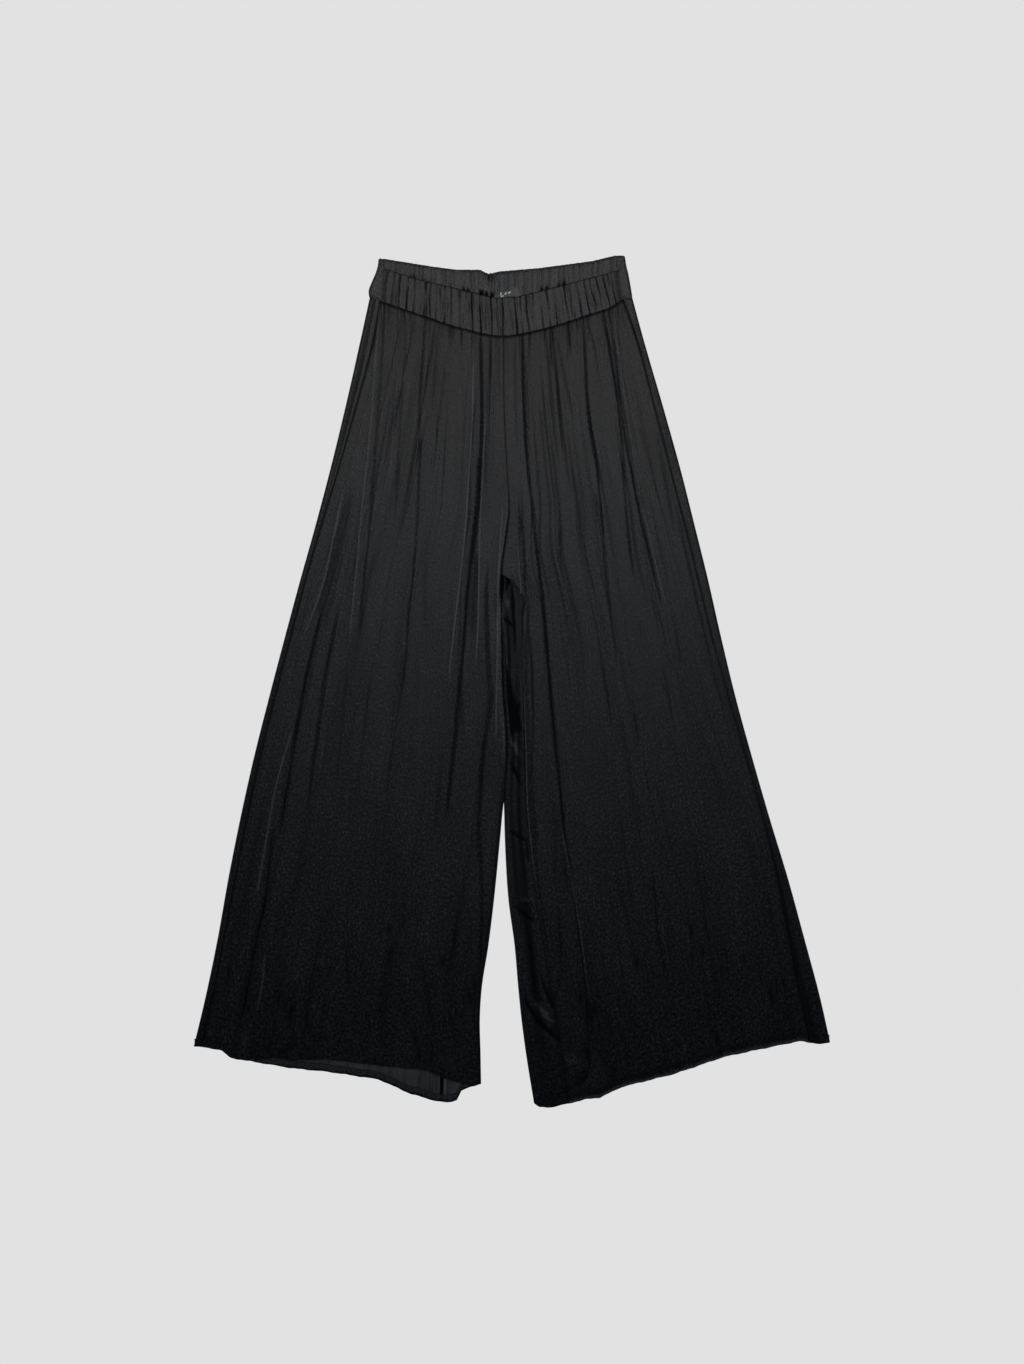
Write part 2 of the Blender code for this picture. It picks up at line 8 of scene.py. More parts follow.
import bpy
import numpy as np
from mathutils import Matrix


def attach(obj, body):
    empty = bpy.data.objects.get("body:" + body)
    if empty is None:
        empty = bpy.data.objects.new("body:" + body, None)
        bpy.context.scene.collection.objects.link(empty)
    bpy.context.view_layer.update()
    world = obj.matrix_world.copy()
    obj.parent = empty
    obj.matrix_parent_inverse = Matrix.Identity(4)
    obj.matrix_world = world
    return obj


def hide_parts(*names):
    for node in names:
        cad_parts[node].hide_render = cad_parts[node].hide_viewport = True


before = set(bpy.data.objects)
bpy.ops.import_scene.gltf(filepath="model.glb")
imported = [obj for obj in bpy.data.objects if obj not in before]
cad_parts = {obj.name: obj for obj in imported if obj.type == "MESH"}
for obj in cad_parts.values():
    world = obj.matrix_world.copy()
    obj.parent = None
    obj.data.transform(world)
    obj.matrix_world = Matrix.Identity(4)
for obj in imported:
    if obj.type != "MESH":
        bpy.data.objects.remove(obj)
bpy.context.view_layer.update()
bpy.ops.object.select_all(action="DESELECT")

MM = 0.001

# ---------------------------------------------------------------- sizes

CLOTH = 0.0007             # wall of the leg cloth
CASING = 0.0014            # wall of the front waistband, with its elastic
BACK_CASING = 0.0024       # wall of the back waistband, whose gathers face up
TAPE = 0.0003              # wall of the label
LAP = 0.0025               # how far one panel's edge passes over the next at a seam
SEAM_GAP = 0.0003
CLEARANCE = 0.08 * MM      # left between a panel's edge and the cloth that it touches
CROTCH_Y = 0.130
CENTRE_X = -0.0106
FRONT_LEVEL = 0.0053       # height of the plain front cloth,
WAIST_LEVEL = 0.0060       # of the same at the waistband
HEM_LEVEL = 0.0036         # and at the hems, where the layers lie closer
LOWEST_TOP = 0.0020        # where a fold's bottom meets the cloth under it
BAND_LEVEL = 0.0070        # height of the front waistband
SIDE_RADIUS = 0.0030       # turn of the cloth round a leg's side,
SEAM_RADIUS = 0.0018       # round an inner edge near the crotch
FLAT_SEAM_RADIUS = 0.0006  # and along the centre seam
ALLOWANCE = 0.0040         # cloth turned under along the centre seam
RELEASE = 0.0020           # how far the panels stand back from the inseams at the crotch
PARTED_AT = 0.015          # distances below the crotch: the left front starts to sink,
LOWERED_AT = 0.035         # its edge lies on the floor
OPENED_AT = 0.090          # and the edges are as round as the legs' sides
HEM_DEPTH = 0.009          # turned-up hem
HEM_FOLD = 0.0015          # its two layers together
SEAM_GROOVE = 0.0014       # half width of the dip along a seam
LEG_WIDTH = 0.28           # a front panel's usual width
CREASED = (-0.46, 0.42)    # lowest and highest middle, in y, of a crinkle
SWELLING = (-0.40, 0.30)   # and of a swell
CRUSHED = (-0.50, -0.30)   # y range of the short creases near the hems

# Outer edges and side seams of the legs: y, left edge, left seam, right seam, right edge
LEG_SIDES = (
    (0.480, -0.1781, -0.1644, 0.1385, 0.1506),
    (0.430, -0.1890, -0.1730, 0.1560, 0.1642),
    (0.345, -0.2081, -0.1948, 0.1780, 0.1888),
    (0.260, -0.2288, -0.2190, 0.1997, 0.2124),
    (0.195, -0.2460, -0.2385, 0.2165, 0.2287),
    (0.130, -0.2642, -0.2575, 0.2324, 0.2448),
    (0.055, -0.2844, -0.2770, 0.2507, 0.2618),
    (-0.020, -0.3041, -0.2966, 0.2711, 0.2800),
    (-0.095, -0.3230, -0.3150, 0.2926, 0.3006),
    (-0.170, -0.3397, -0.3310, 0.3138, 0.3222),
    (-0.245, -0.3547, -0.3460, 0.3316, 0.3450),
    (-0.320, -0.3680, -0.3600, 0.3459, 0.3655),
    (-0.395, -0.3836, -0.3753, 0.3607, 0.3855),
    (-0.455, -0.3980, -0.3890, 0.3740, 0.3990),
)

# Inner edges under the crotch: y, left leg, right leg
INNER_EDGES = (
    (0.130, -0.0137, -0.0103),
    (0.118, -0.0143, -0.0102),
    (0.102, -0.0140, -0.0129),
    (0.039, -0.0131, -0.0119),
    (-0.011, -0.0119, -0.0107),
    (-0.073, -0.0075, -0.0063),
    (-0.149, -0.0109, -0.0097),
    (-0.217, -0.0169, -0.0081),
    (-0.273, -0.0225, -0.0044),
    (-0.329, -0.0294, 0.0031),
    (-0.386, -0.0381, 0.0081),
    (-0.423, -0.0402, 0.0119),
    (-0.461, -0.0394, 0.0169),
    (-0.528, -0.0381, 0.0276),
)

# Where the two fronts meet above the crotch: y, x
CENTRE_LINE = (
    (0.4400, -0.0106), (0.3300, -0.0092), (0.2600, -0.0058), (0.2150, -0.0038),
    (0.1800, -0.0076), (0.1500, -0.0120), (0.1300, -0.0137),
)

# Lower end of the right front's flap over the crotch: y, x
FLAP_EDGE = (
    (0.1345, -0.0134), (0.1328, -0.0098), (0.1300, -0.0064), (0.1288, -0.0020),
    (0.1262, 0.0008), (0.1215, 0.0042), (0.1150, 0.0098), (0.1080, 0.0112),
)

# Inseams: y, width of the left front under its leg, x of the right inseam on top
INSEAMS = (
    (0.130, 0.0040, -0.0048),
    (0.115, 0.0045, 0.0090),
    (0.077, 0.0065, 0.0116),
    (-0.023, 0.0130, 0.0151),
    (-0.192, 0.0240, 0.0206),
    (-0.291, 0.0310, 0.0356),
    (-0.385, 0.0380, 0.0500),
    (-0.443, 0.0430, 0.0594),
    (-0.528, 0.0465, 0.0706),
)

# Waist seam: x, y
WAIST_SEAM = (
    (-0.1781, 0.4806), (-0.1644, 0.4756), (-0.1156, 0.4587), (-0.0644, 0.4419),
    (-0.0106, 0.4319), (0.0356, 0.4400), (0.0894, 0.4564), (0.1294, 0.4714),
    (0.1388, 0.4778), (0.1506, 0.4796),
)

# Upper edges of the two waistband halves: x, y
FRONT_TOP = (
    (-0.1594, 0.5169), (-0.1156, 0.5031), (-0.0469, 0.4869), (-0.0194, 0.4806),
    (0.0069, 0.4819), (0.0556, 0.4944), (0.1119, 0.5088), (0.1331, 0.5150),
)
BACK_TOP = (
    (-0.1669, 0.5285), (-0.1594, 0.5275), (-0.1006, 0.5181), (-0.0694, 0.5140),
    (-0.0400, 0.5140), (-0.0306, 0.5094), (-0.0156, 0.5119), (0.0344, 0.5161),
    (0.1006, 0.5249), (0.1281, 0.5315), (0.1406, 0.5320),
)

# Sides of the waistband: y, left edge, left seam, right seam, right edge
BAND_SIDES = (
    (0.4790, -0.1781, -0.1644, 0.1388, 0.1508),
    (0.4890, -0.1794, -0.1635, 0.1370, 0.1494),
    (0.5000, -0.1755, -0.1622, 0.1355, 0.1475),
    (0.5120, -0.1704, -0.1605, 0.1340, 0.1452),
    (0.5200, -0.1680, -0.1594, 0.1331, 0.1432),
    (0.5300, -0.1669, -0.1580, 0.1320, 0.1416),
)

# Hems: x, y
HEM_LEFT_TOP = (
    (-0.3981, -0.4544), (-0.3794, -0.4556), (-0.3644, -0.4594), (-0.3531, -0.4681),
    (-0.3119, -0.4725), (-0.2956, -0.4690), (-0.2731, -0.4728), (-0.2294, -0.4719),
    (-0.1669, -0.4794), (-0.1056, -0.4856), (-0.0856, -0.4956), (-0.0556, -0.5031),
    (-0.0386, -0.5031),
)
HEM_LEFT_UNDER = (
    (-0.0881, -0.5256), (-0.0806, -0.5264), (-0.0694, -0.5239), (-0.0631, -0.5115),
    (-0.0510, -0.5066), (-0.0386, -0.5031),
)
HEM_LEFT_BACK = (
    (-0.3981, -0.4556), (-0.3644, -0.4606), (-0.3525, -0.4706), (-0.2756, -0.4835),
    (-0.2294, -0.4881), (-0.1669, -0.4975), (-0.1275, -0.5153), (-0.0956, -0.5245),
    (-0.0881, -0.5256),
)
HEM_RIGHT = (
    (0.0276, -0.5276), (0.0344, -0.5320), (0.0506, -0.5320), (0.0940, -0.5219),
    (0.1103, -0.5200), (0.1374, -0.5068), (0.2025, -0.4906), (0.2644, -0.4694),
    (0.3106, -0.4594), (0.3594, -0.4494), (0.3869, -0.4531), (0.3986, -0.4511),
)

# Folds in millimetres: name, upper and lower end in y, x at four even steps between
# them, rise (below 0 is a trough), half width, and painted highlight (+) or painted shade (-)
LEFT_FOLDS = (
    ("side_tuck", 472, 433, (-163.1,) * 4, -0.5, 1.6, -0.50),
    ("waist_tuck_a", 463, 437, (-143.1,) * 4, -0.5, 1.6, -0.50),
    ("waist_tuck_b", 452, 414, (-134.4,) * 4, -0.5, 1.6, -0.40),
    ("crease_top", 456, 285, (-108.6, -112.0, -115.6, -114.4), -0.8, 2.2, -0.60),
    ("crease", 302, 84, (-114.4, -118.1, -122.3, -129.4), -0.7, 2.2, -0.55),
    ("crease_low", 102, -147, (-129.4, -134.7, -147.0, -159.4), -0.8, 2.4, -0.60),
    ("waist_tuck_c", 443, 423, (-63.1,) * 4, -0.5, 1.6, -0.50),
    ("main_top", 436, 264, (-39.8, -38.1, -37.9, -40.0), -1.2, 2.6, -0.80),
    ("main", 283, 84, (-39.4, -43.3, -51.0, -58.4), -1.8, 4.0, -1.00),
    ("main_low", 102, -186, (-55.6, -64.6, -73.2, -84.4), -1.5, 3.5, -0.90),
    ("main_wide", 158, 39, (-46.9, -49.8, -51.8, -54.4), -1.4, 6.0, -0.80),
    ("centre_tuck", 437, 358, (-27.5,) * 4, -0.5, 2.0, -0.40),
    ("faint_a", 352, 276, (-94.8,) * 4, -0.3, 2.4, -0.25),
    ("faint_b", 27, -48, (-118.1,) * 4, -0.4, 4.0, -0.30),
    ("pocket_ridge_top", 472, 276, (-166.0, -170.7, -175.1, -181.0), 0.8, 2.0, 0.50),
    ("pocket_ridge", 283, 42, (-180.6, -189.1, -196.4, -204.8), 0.9, 2.2, 0.60),
    ("pocket_shade_top", 464, 252, (-159.4, -164.1, -169.1, -174.4), -0.6, 3.0, -0.50),
    ("pocket_shade", 264, 52, (-174.4, -178.9, -185.1, -191.9), -0.7, 3.0, -0.55),
    ("hip_ridge", 423, 189, (-140.6, -146.1, -151.5, -156.0), 0.6, 2.0, 0.40),
    ("hip_shade", 414, 189, (-134.4, -138.7, -143.1, -148.1), -0.5, 3.0, -0.35),
    ("gather_ridge", 408, 327, (-65.6,) * 4, 0.4, 1.6, 0.35),
    ("main_ridge_top", 416, 161, (-48.1, -50.0, -54.7, -60.6), 1.1, 2.4, 0.70),
    ("main_ridge", 177, -9, (-59.4, -66.4, -73.9, -80.2), 1.1, 2.4, 0.90),
    ("valley_ridge_top", 352, 179, (-31.9, -35.1, -38.4, -41.2), 0.9, 2.2, 0.50),
    ("valley_ridge", 196, 6, (-40.6, -41.4, -42.8, -46.0), 1.0, 2.2, 0.85),
    ("thigh_ridge", 256, 42, (-208.1, -222.1, -239.1, -266.9), 1.1, 3.0, 0.60),
    ("thigh_shade", 252, 77, (-201.9, -211.6, -226.2, -241.9), -1.0, 5.0, -0.60),
    ("inner_shade", 156, -23, (-30.6, -31.7, -30.4, -26.9), -0.9, 4.0, -0.55),
    ("edge_ridge_top", 237, 56, (-10.6, -14.4, -17.7, -18.4), 0.5, 1.8, 0.80),
    ("edge_ridge", 77, -86, (-18.1, -18.8, -19.5, -20.6), 0.6, 1.8, 1.00),
    ("shin_top", 102, -28, (-234.6, -245.3, -255.2, -264.4), -1.3, 2.8, -0.85),
    ("shin", -23, -207, (-263.1, -273.3, -283.3, -294.4), -1.5, 3.0, -0.95),
    ("shin_ridge", -58, -269, (-274.5, -294.6, -307.6, -319.4), 1.2, 2.4, 0.70),
    ("calf_top", 102, -48, (-216.9, -224.8, -234.6, -240.6), -1.0, 2.6, -0.60),
    ("calf", -42, -177, (-240.6, -246.5, -252.5, -258.6), -1.1, 2.6, -0.70),
    ("calf_ridge", -48, -136, (-231.9, -236.0, -239.8, -243.1), 0.9, 2.2, 0.50),
    ("knee_a", 102, 62, (-188.9,) * 4, -0.5, 2.0, -0.40),
    ("knee_b", -98, -179, (-196.9, -200.0, -202.9, -205.6), -0.6, 2.2, -0.45),
    ("outer_top", -186, -333, (-299.4, -304.0, -310.8, -322.1), -2.0, 3.2, -1.00),
    ("outer", -323, -452, (-320.6, -327.6, -336.0, -348.1), -1.8, 3.2, -1.00),
    ("outer_ridge", -328, -426, (-308.1, -310.3, -314.6, -323.1), 1.2, 2.0, 1.00),
    ("outer_swell", -20, -460, (-270.0, -301.0, -330.0, -362.0), 1.5, 9.0, 0.10),
    ("outer_beside", -269, -348, (-293.1, -293.9, -294.4, -294.4), -0.7, 2.2, -0.50),
    ("outer_band", -277, -344, (-300.6, -300.6, -301.0, -301.9), 0.8, 3.0, 0.45),
    ("ankle_short", -423, -442, (-330.6, -327.9, -325.0, -321.9), -1.0, 1.8, -1.00),
    ("valley_top", -11, -138, (-24.4, -30.2, -36.1, -39.4), -1.6, 3.4, -1.00),
    ("valley_mid", -129, -266, (-38.8, -41.7, -40.1, -36.9), -1.7, 3.4, -1.00),
    ("valley_low", -254, -388, (-36.9, -37.9, -39.4, -42.3), -1.7, 3.0, -1.10),
    ("hem_a", -368, -436, (-266.2, -261.9, -257.9, -254.4), -1.3, 2.6, -1.00),
    ("hem_b", -402, -422, (-236.9, -234.0, -231.0, -228.1), -1.0, 2.4, -0.90),
    ("hem_c", -312, -409, (-207.5, -206.9, -205.1, -194.8), -1.3, 2.6, -1.00),
    ("hem_d", -321, -464, (-121.9, -110.8, -102.1, -91.9), -1.5, 2.6, -1.10),
    ("hem_d_ridge", -288, -344, (-108.1, -106.6, -105.0, -103.5), 0.7, 2.4, 0.40),
    ("hem_e", -304, -339, (-73.4, -72.2, -71.1, -70.0), -1.1, 2.2, -0.90),
    ("hem_arc", -399, -427, (-48.1, -66.5, -77.6, -85.0), 1.2, 2.6, 0.90),
)
RIGHT_FOLDS = (
    ("main_top", 432, 228, (12.9, 14.2, 17.5, 23.9), -1.1, 2.4, -0.70),
    ("main", 239, 52, (23.1, 29.7, 37.1, 43.1), -1.3, 2.6, -0.85),
    ("main_knee", 64, -186, (41.9, 48.6, 56.7, 65.3), -1.7, 2.8, -1.10),
    ("main_low", -173, -408, (63.1, 74.8, 85.8, 94.4), -1.3, 2.8, -0.85),
    ("main_hem", -398, -486, (93.8, 95.2, 96.4, 96.9), -1.2, 2.8, -0.90),
    ("second", -212, -273, (60.3, 63.9, 68.4, 73.6), -0.8, 2.2, -0.50),
    ("second_ridge", -184, -378, (61.9, 74.4, 85.6, 94.4), 1.0, 2.4, 0.50),
    ("second_ridge_low", -367, -467, (93.1, 99.1, 105.1, 111.2), 0.8, 2.6, 0.40),
    ("tuck_a", 438, 379, (47.4, 48.7, 49.7, 50.3), -0.6, 1.8, -0.50),
    ("tuck_b", 443, 423, (58.9,) * 4, -0.5, 1.6, -0.50),
    ("tuck_c", 446, 407, (70.3, 71.4, 72.3, 73.1), -0.8, 1.8, -0.80),
    ("crease_top", 454, 304, (89.0, 91.7, 94.2, 100.4), -1.0, 2.0, -0.80),
    ("crease", 314, 177, (99.4, 106.7, 110.6, 114.4), -0.9, 2.2, -0.70),
    ("crease_low", 189, 27, (113.1, 117.8, 124.1, 133.1), -0.6, 2.4, -0.45),
    ("crease_ridge", 314, 264, (101.9, 105.2, 108.5, 111.9), 0.7, 1.8, 0.45),
    ("tuck_d", 452, 423, (96.1, 96.6, 97.1, 97.6), -0.5, 1.6, -0.50),
    ("hip_top", 460, 285, (114.7, 124.3, 133.6, 138.6), -1.0, 2.2, -0.75),
    ("hip", 296, 113, (138.1, 141.6, 146.8, 155.6), -0.7, 2.4, -0.50),
    ("pocket_top", 463, 266, (121.9, 130.2, 137.2, 148.1), -0.9, 2.0, -0.60),
    ("pocket", 277, 122, (146.9, 156.4, 168.6, 180.6), -1.0, 2.2, -0.70),
    ("pocket_low", 129, 94, (179.4, 181.8, 184.5, 188.1), -0.7, 2.0, -0.55),
    ("pocket_ridge", 462, 218, (128.1, 137.6, 148.8, 163.1), 0.8, 2.0, 0.45),
    ("pocket_ridge_low", 227, 94, (161.9, 171.7, 181.9, 193.1), 0.8, 2.0, 0.50),
    ("tuck_e", 463, 414, (128.8, 130.9, 133.2, 135.6), -0.6, 1.8, -0.50),
    ("inner_top", 239, 52, (6.6, 13.7, 16.9, 21.9), -0.9, 2.2, -0.60),
    ("inner_knee", 64, -131, (21.2, 25.2, 25.9, 23.5), -1.0, 2.4, -0.65),
    ("inner_low", -123, -273, (23.8, 28.6, 30.3, 35.1), -1.0, 2.4, -0.65),
    ("inner_hem", -261, -338, (34.4, 38.0, 41.6, 45.3), -0.8, 2.4, -0.55),
    ("inseam_ridge_top", 198, -23, (5.0, 10.5, 12.8, 15.1), 0.5, 1.6, 0.85),
    ("inseam_ridge", -11, -242, (14.9, 17.5, 19.9, 28.1), 0.6, 1.6, 0.75),
    ("inseam_ridge_low", -229, -444, (26.9, 37.2, 48.1, 59.4), 0.6, 1.8, 0.50),
    ("crotch_slit", 211, 132, (-3.4, -8.0, -11.4, -14.4), -1.0, 1.4, -1.20),
    ("faint_a", 237, 84, (108.1, 114.0, 119.0, 119.4), -0.3, 2.4, -0.25),
    ("faint_b", 239, -3, (103.8, 115.7, 125.1, 134.0), -0.4, 2.4, -0.30),
    ("faint_c", 81, 48, (158.1, 159.6, 161.0, 162.5), -0.4, 2.4, -0.30),
    ("faint_d", 81, 5, (201.2, 205.5, 209.8, 214.4), -0.4, 2.4, -0.30),
    ("faint_e", 16, -27, (186.2, 187.7, 189.2, 190.6), -0.4, 2.4, -0.30),
    ("faint_f", -18, -103, (154.0, 155.5, 159.1, 164.7), -0.5, 2.6, -0.35),
    ("faint_g", -220, -352, (174.4, 178.1, 182.2, 186.5), -1.0, 3.0, -0.80),
    ("faint_h", -209, -313, (235.6, 240.7, 245.2, 249.4), -0.5, 2.8, -0.30),
    ("faint_i", -313, -398, (259.4, 267.4, 271.0, 273.1), -1.1, 2.8, -0.80),
    ("faint_j", -225, -253, (281.4, 282.7, 284.0, 285.3), -0.4, 2.6, -0.30),
    ("faint_k", -422, -452, (281.4, 278.6, 275.9, 273.1), -1.0, 2.6, -0.80),
    ("faint_l", -298, -329, (114.4,) * 4, -0.7, 2.6, -0.60),
    ("faint_m", -386, -436, (131.9, 133.5, 134.8, 135.6), -1.0, 2.6, -0.80),
)

# Short crosswise wrinkles in mm: from (x, y), to (x, y), rise, half width, painted shade (-) or
# highlight (+)
STRIP_WRINKLES = (
    ((-10.6, -26.9), (-0.6, -64.4), -1.0, 2.4, -1.0),
    ((9.4, -26.9), (-0.6, -64.4), -1.0, 2.4, -1.0),
    ((-1.9, -73.0), (10.6, -94.0), 0.9, 5.0, 0.7),
    ((-4.4, -95.6), (11.9, -129.4), -1.0, 2.4, -0.9),
    ((-1.9, -186.9), (18.1, -199.4), -1.0, 2.2, -0.8),
    ((18.1, -199.4), (20.6, -228.0), -0.9, 2.2, -0.7),
    ((10.0, -273.0), (24.4, -273.0), 0.8, 3.5, 0.6),
    ((3.1, -281.4), (28.8, -300.3), -1.1, 2.4, -0.9),
    ((25.0, -398.0), (50.6, -425.6), 1.0, 4.5, 0.9),
    ((15.6, -396.0), (29.4, -421.0), -1.2, 2.6, -1.1),
    ((29.4, -421.0), (58.0, -448.0), -1.4, 3.2, -1.3),
    ((36.9, -373.0), (52.0, -408.0), -1.2, 2.2, -1.2),
    ((66.5, -514.4), (99.4, -486.3), -0.8, 3.0, -0.6),
    ((-10.6, 45.6), (3.1, -23.1), 0.7, 1.4, 0.9),
    ((-0.6, 126.9), (4.4, 39.4), -0.9, 1.8, -0.9),
    ((-13.8, 101.9), (-8.1, 20.6), -0.7, 1.6, -1.0),
    ((-10.6, 80.6), (0.6, 69.4), -0.9, 2.4, -0.9),
    ((-6.0, 104.0), (-4.0, 88.0), 0.7, 3.6, 0.5),
)
RIGHT_WRINKLES = (
    ((62.0, -470.0), (86.0, -478.0), 0.8, 6.0, 0.5),
    ((94.4, -459.0), (97.2, -486.0), -1.2, 2.6, -1.0),
    ((97.2, -486.0), (82.2, -508.8), -1.2, 2.8, -1.1),
    ((66.5, -514.4), (99.4, -486.3), -0.9, 3.0, -0.7),
    ((59.4, -283.8), (61.9, -373.0), -0.8, 2.2, -0.6),
    ((61.9, -373.0), (52.4, -396.9), -0.8, 2.2, -0.6),
    ((52.4, -396.9), (56.9, -420.0), -0.7, 2.2, -0.5),
)
LEFT_WRINKLES = (
    ((-91.9, -464.4), (-80.6, -464.4), -0.8, 2.4, -0.6),
    ((-85.0, -430.0), (-62.0, -412.0), -0.7, 4.0, -0.5),
)

# Gathers of the front waistband in millimetres: x at mid height, depth
FRONT_GATHERS = (
    (-148.8, 1.0), (-140.1, 1.3), (-130.1, 1.7), (-121.9, 0.8), (-107.9, 1.7),
    (-101.4, 1.1), (-93.8, 0.8), (-83.5, 1.4), (-75.6, 0.8), (-65.0, 1.4),
    (-56.9, 0.8), (-49.8, 1.2), (-39.8, 1.8), (-33.8, 0.8), (-26.9, 1.8),
    (-19.4, 0.7), (-13.1, 1.5), (2.9, 1.6), (9.4, 1.1), (16.9, 1.3),
    (25.6, 0.7), (34.4, 0.8), (43.1, 1.3), (51.9, 1.3), (65.6, 1.7),
    (73.1, 0.8), (81.9, 1.5), (91.9, 1.3), (99.4, 0.8), (107.6, 1.4),
    (116.9, 1.2), (126.2, 1.4),
)
# Hollows where the front waistband stands off the back one: x and half width in
# millimetres, and how deep they are and how much shade is painted in and beside them
HOLLOWS = (
    (-124.0, 5.0, 0.5), (-108.0, 7.0, 0.4), (-77.0, 1.2, 0.7), (-60.5, 2.2, 0.9),
    (-55.0, 2.0, 1.0), (-38.0, 2.6, 1.6), (-32.0, 2.2, 1.5), (-25.0, 2.4, 1.6),
    (37.0, 2.0, 0.9), (43.5, 2.0, 1.0), (58.5, 2.2, 0.9), (65.0, 2.6, 1.0),
)


# ---------------------------------------------------------------- curves

def smooth(stations, values, at):
    """Values on a soft curve through a table, straight beyond its ends."""
    order = np.argsort(stations)
    s = np.array(stations, dtype=float)[order]
    v = np.array(values, dtype=float)[order]
    slope = np.gradient(v, s)
    at = np.asarray(at, dtype=float)
    i = np.clip(np.searchsorted(s, at) - 1, 0, len(s) - 2)
    span = s[i + 1] - s[i]
    t = (at - s[i]) / span
    start = (1 + 2 * t) * (1 - t) ** 2 * v[i] + t * (1 - t) ** 2 * span * slope[i]
    end = t * t * (3 - 2 * t) * v[i + 1] + t * t * (t - 1) * span * slope[i + 1]
    inside = start + end
    before = v[0] + (at - s[0]) * slope[0]
    after = v[-1] + (at - s[-1]) * slope[-1]
    return np.where(at <= s[0], before, np.where(at >= s[-1], after, inside))


def column(table, index, at):
    return smooth([row[0] for row in table], [row[index] for row in table], at)


def edge_y(points, x):
    return np.interp(x, [p[0] for p in points], [p[1] for p in points])


def seam_y(x):
    return column(WAIST_SEAM, 1, x)


def back_seam_y(x):
    """Y of the back's waist seam, where it lies on the floor."""
    left_x, left_y = WAIST_SEAM[0]
    right_x, right_y = WAIST_SEAM[-1]
    along_left = (x - CENTRE_X) / (left_x + SIDE_RADIUS - CENTRE_X)
    along_right = (x - CENTRE_X) / (right_x - SIDE_RADIUS - CENTRE_X)
    along = np.minimum(np.where(x < CENTRE_X, along_left, along_right) ** 2, 1.0)
    side = np.where(x < CENTRE_X, left_y, right_y)
    return blend(seam_y(CENTRE_X), side, along)


def blend(a, b, t):
    return a + (b - a) * t


def soft_step(low, high, at):
    t = np.clip((at - low) / (high - low), 0.0, 1.0)
    return t * t * (3 - 2 * t)


def soft_line(away, half):
    """1 on a line and near 0 from twice its half width on."""
    return np.exp(-(away / half) ** 2)


def stretch(y, low, rises, high, falls):
    """1 from low to high in y, fading within them over rises and falls, and 0 beyond."""
    return soft_step(0.0, falls, high - y) * soft_step(0.0, rises, y - low)


def left_of(x, y, through, slope, half):
    """1 left of a line through a point that moves right by slope for each 1 down."""
    return soft_step(-half, half, through[0] + slope * (through[1] - y) - x)


def hem_share(y):
    """0 along the leg and 1 at its hem."""
    return soft_step(0.36, 0.47, -y)


def side_radius(y):
    return blend(SIDE_RADIUS, HEM_LEVEL / 2, hem_share(y))


def centre_line(y):
    return column(CENTRE_LINE, 1, y)


def meeting(y):
    """1 where the two legs touch under the crotch."""
    return stretch(y, -0.172, 0.03, 0.118, 0.025)


def left_inner(y):
    below = column(INNER_EDGES, 1, y) + 0.5 * MM * meeting(y)
    return np.where(y >= CROTCH_Y, centre_line(y), below)


def right_inner(y):
    below = column(INNER_EDGES, 2, y) - 0.5 * MM * meeting(y)
    return np.where(y >= CROTCH_Y, CENTRE_X + SEAM_GAP / 2, below)


def lowered(y):
    return soft_step(PARTED_AT, LOWERED_AT, CROTCH_Y - y)


def left_rest(y):
    """How high the left front's turned-under edge lies above the floor."""
    return (front_level(y) - 2 * inner_radius(y)) * (1.0 - lowered(y))


def strip_top(y):
    """Height at which a front panel's side meets the strip that it is sewn to."""
    return 2 * side_radius(y) - CLOTH - CLEARANCE


def inner_radius(y):
    radius = blend(SEAM_RADIUS, SIDE_RADIUS, soft_step(PARTED_AT, OPENED_AT, CROTCH_Y - y))
    radius = blend(radius, FLAT_SEAM_RADIUS, flat_seam(y))
    return np.minimum(radius, side_radius(y))


def flat_seam(y):
    """1 where the centre seam lies flat, 0 where the fronts part above the crotch."""
    return soft_step(0.19, 0.25, y)


def release(y):
    return RELEASE * (1.0 - soft_step(LOWERED_AT, OPENED_AT, CROTCH_Y - y))


def under_width(y):
    return np.where(y >= CROTCH_Y, ALLOWANCE, column(INSEAMS, 1, y))


def right_inseam(y):
    hidden = CENTRE_X + SEAM_RADIUS + ALLOWANCE
    return np.where(y >= CROTCH_Y, hidden, column(INSEAMS, 2, y))


def front_level(y):
    level = blend(FRONT_LEVEL, WAIST_LEVEL, soft_step(0.34, 0.44, y))
    return blend(level, HEM_LEVEL, hem_share(y))


def turn(edge, radius, facing, angle):
    """A point on the turn round an edge: angle 0 is on top and pi on the floor."""
    return edge - facing * radius * (1 - np.sin(angle)), radius * (1 + np.cos(angle))


def leaning(x, z, y, inner):
    """The legs' touching edges lean the same way, so that the left lies over the right."""
    near = 1.0 - soft_step(0.0, 0.014, np.abs(x - inner))
    return x + 0.5 * (z - inner_radius(y)) * near * meeting(y)


# ---------------------------------------------------------------- folds

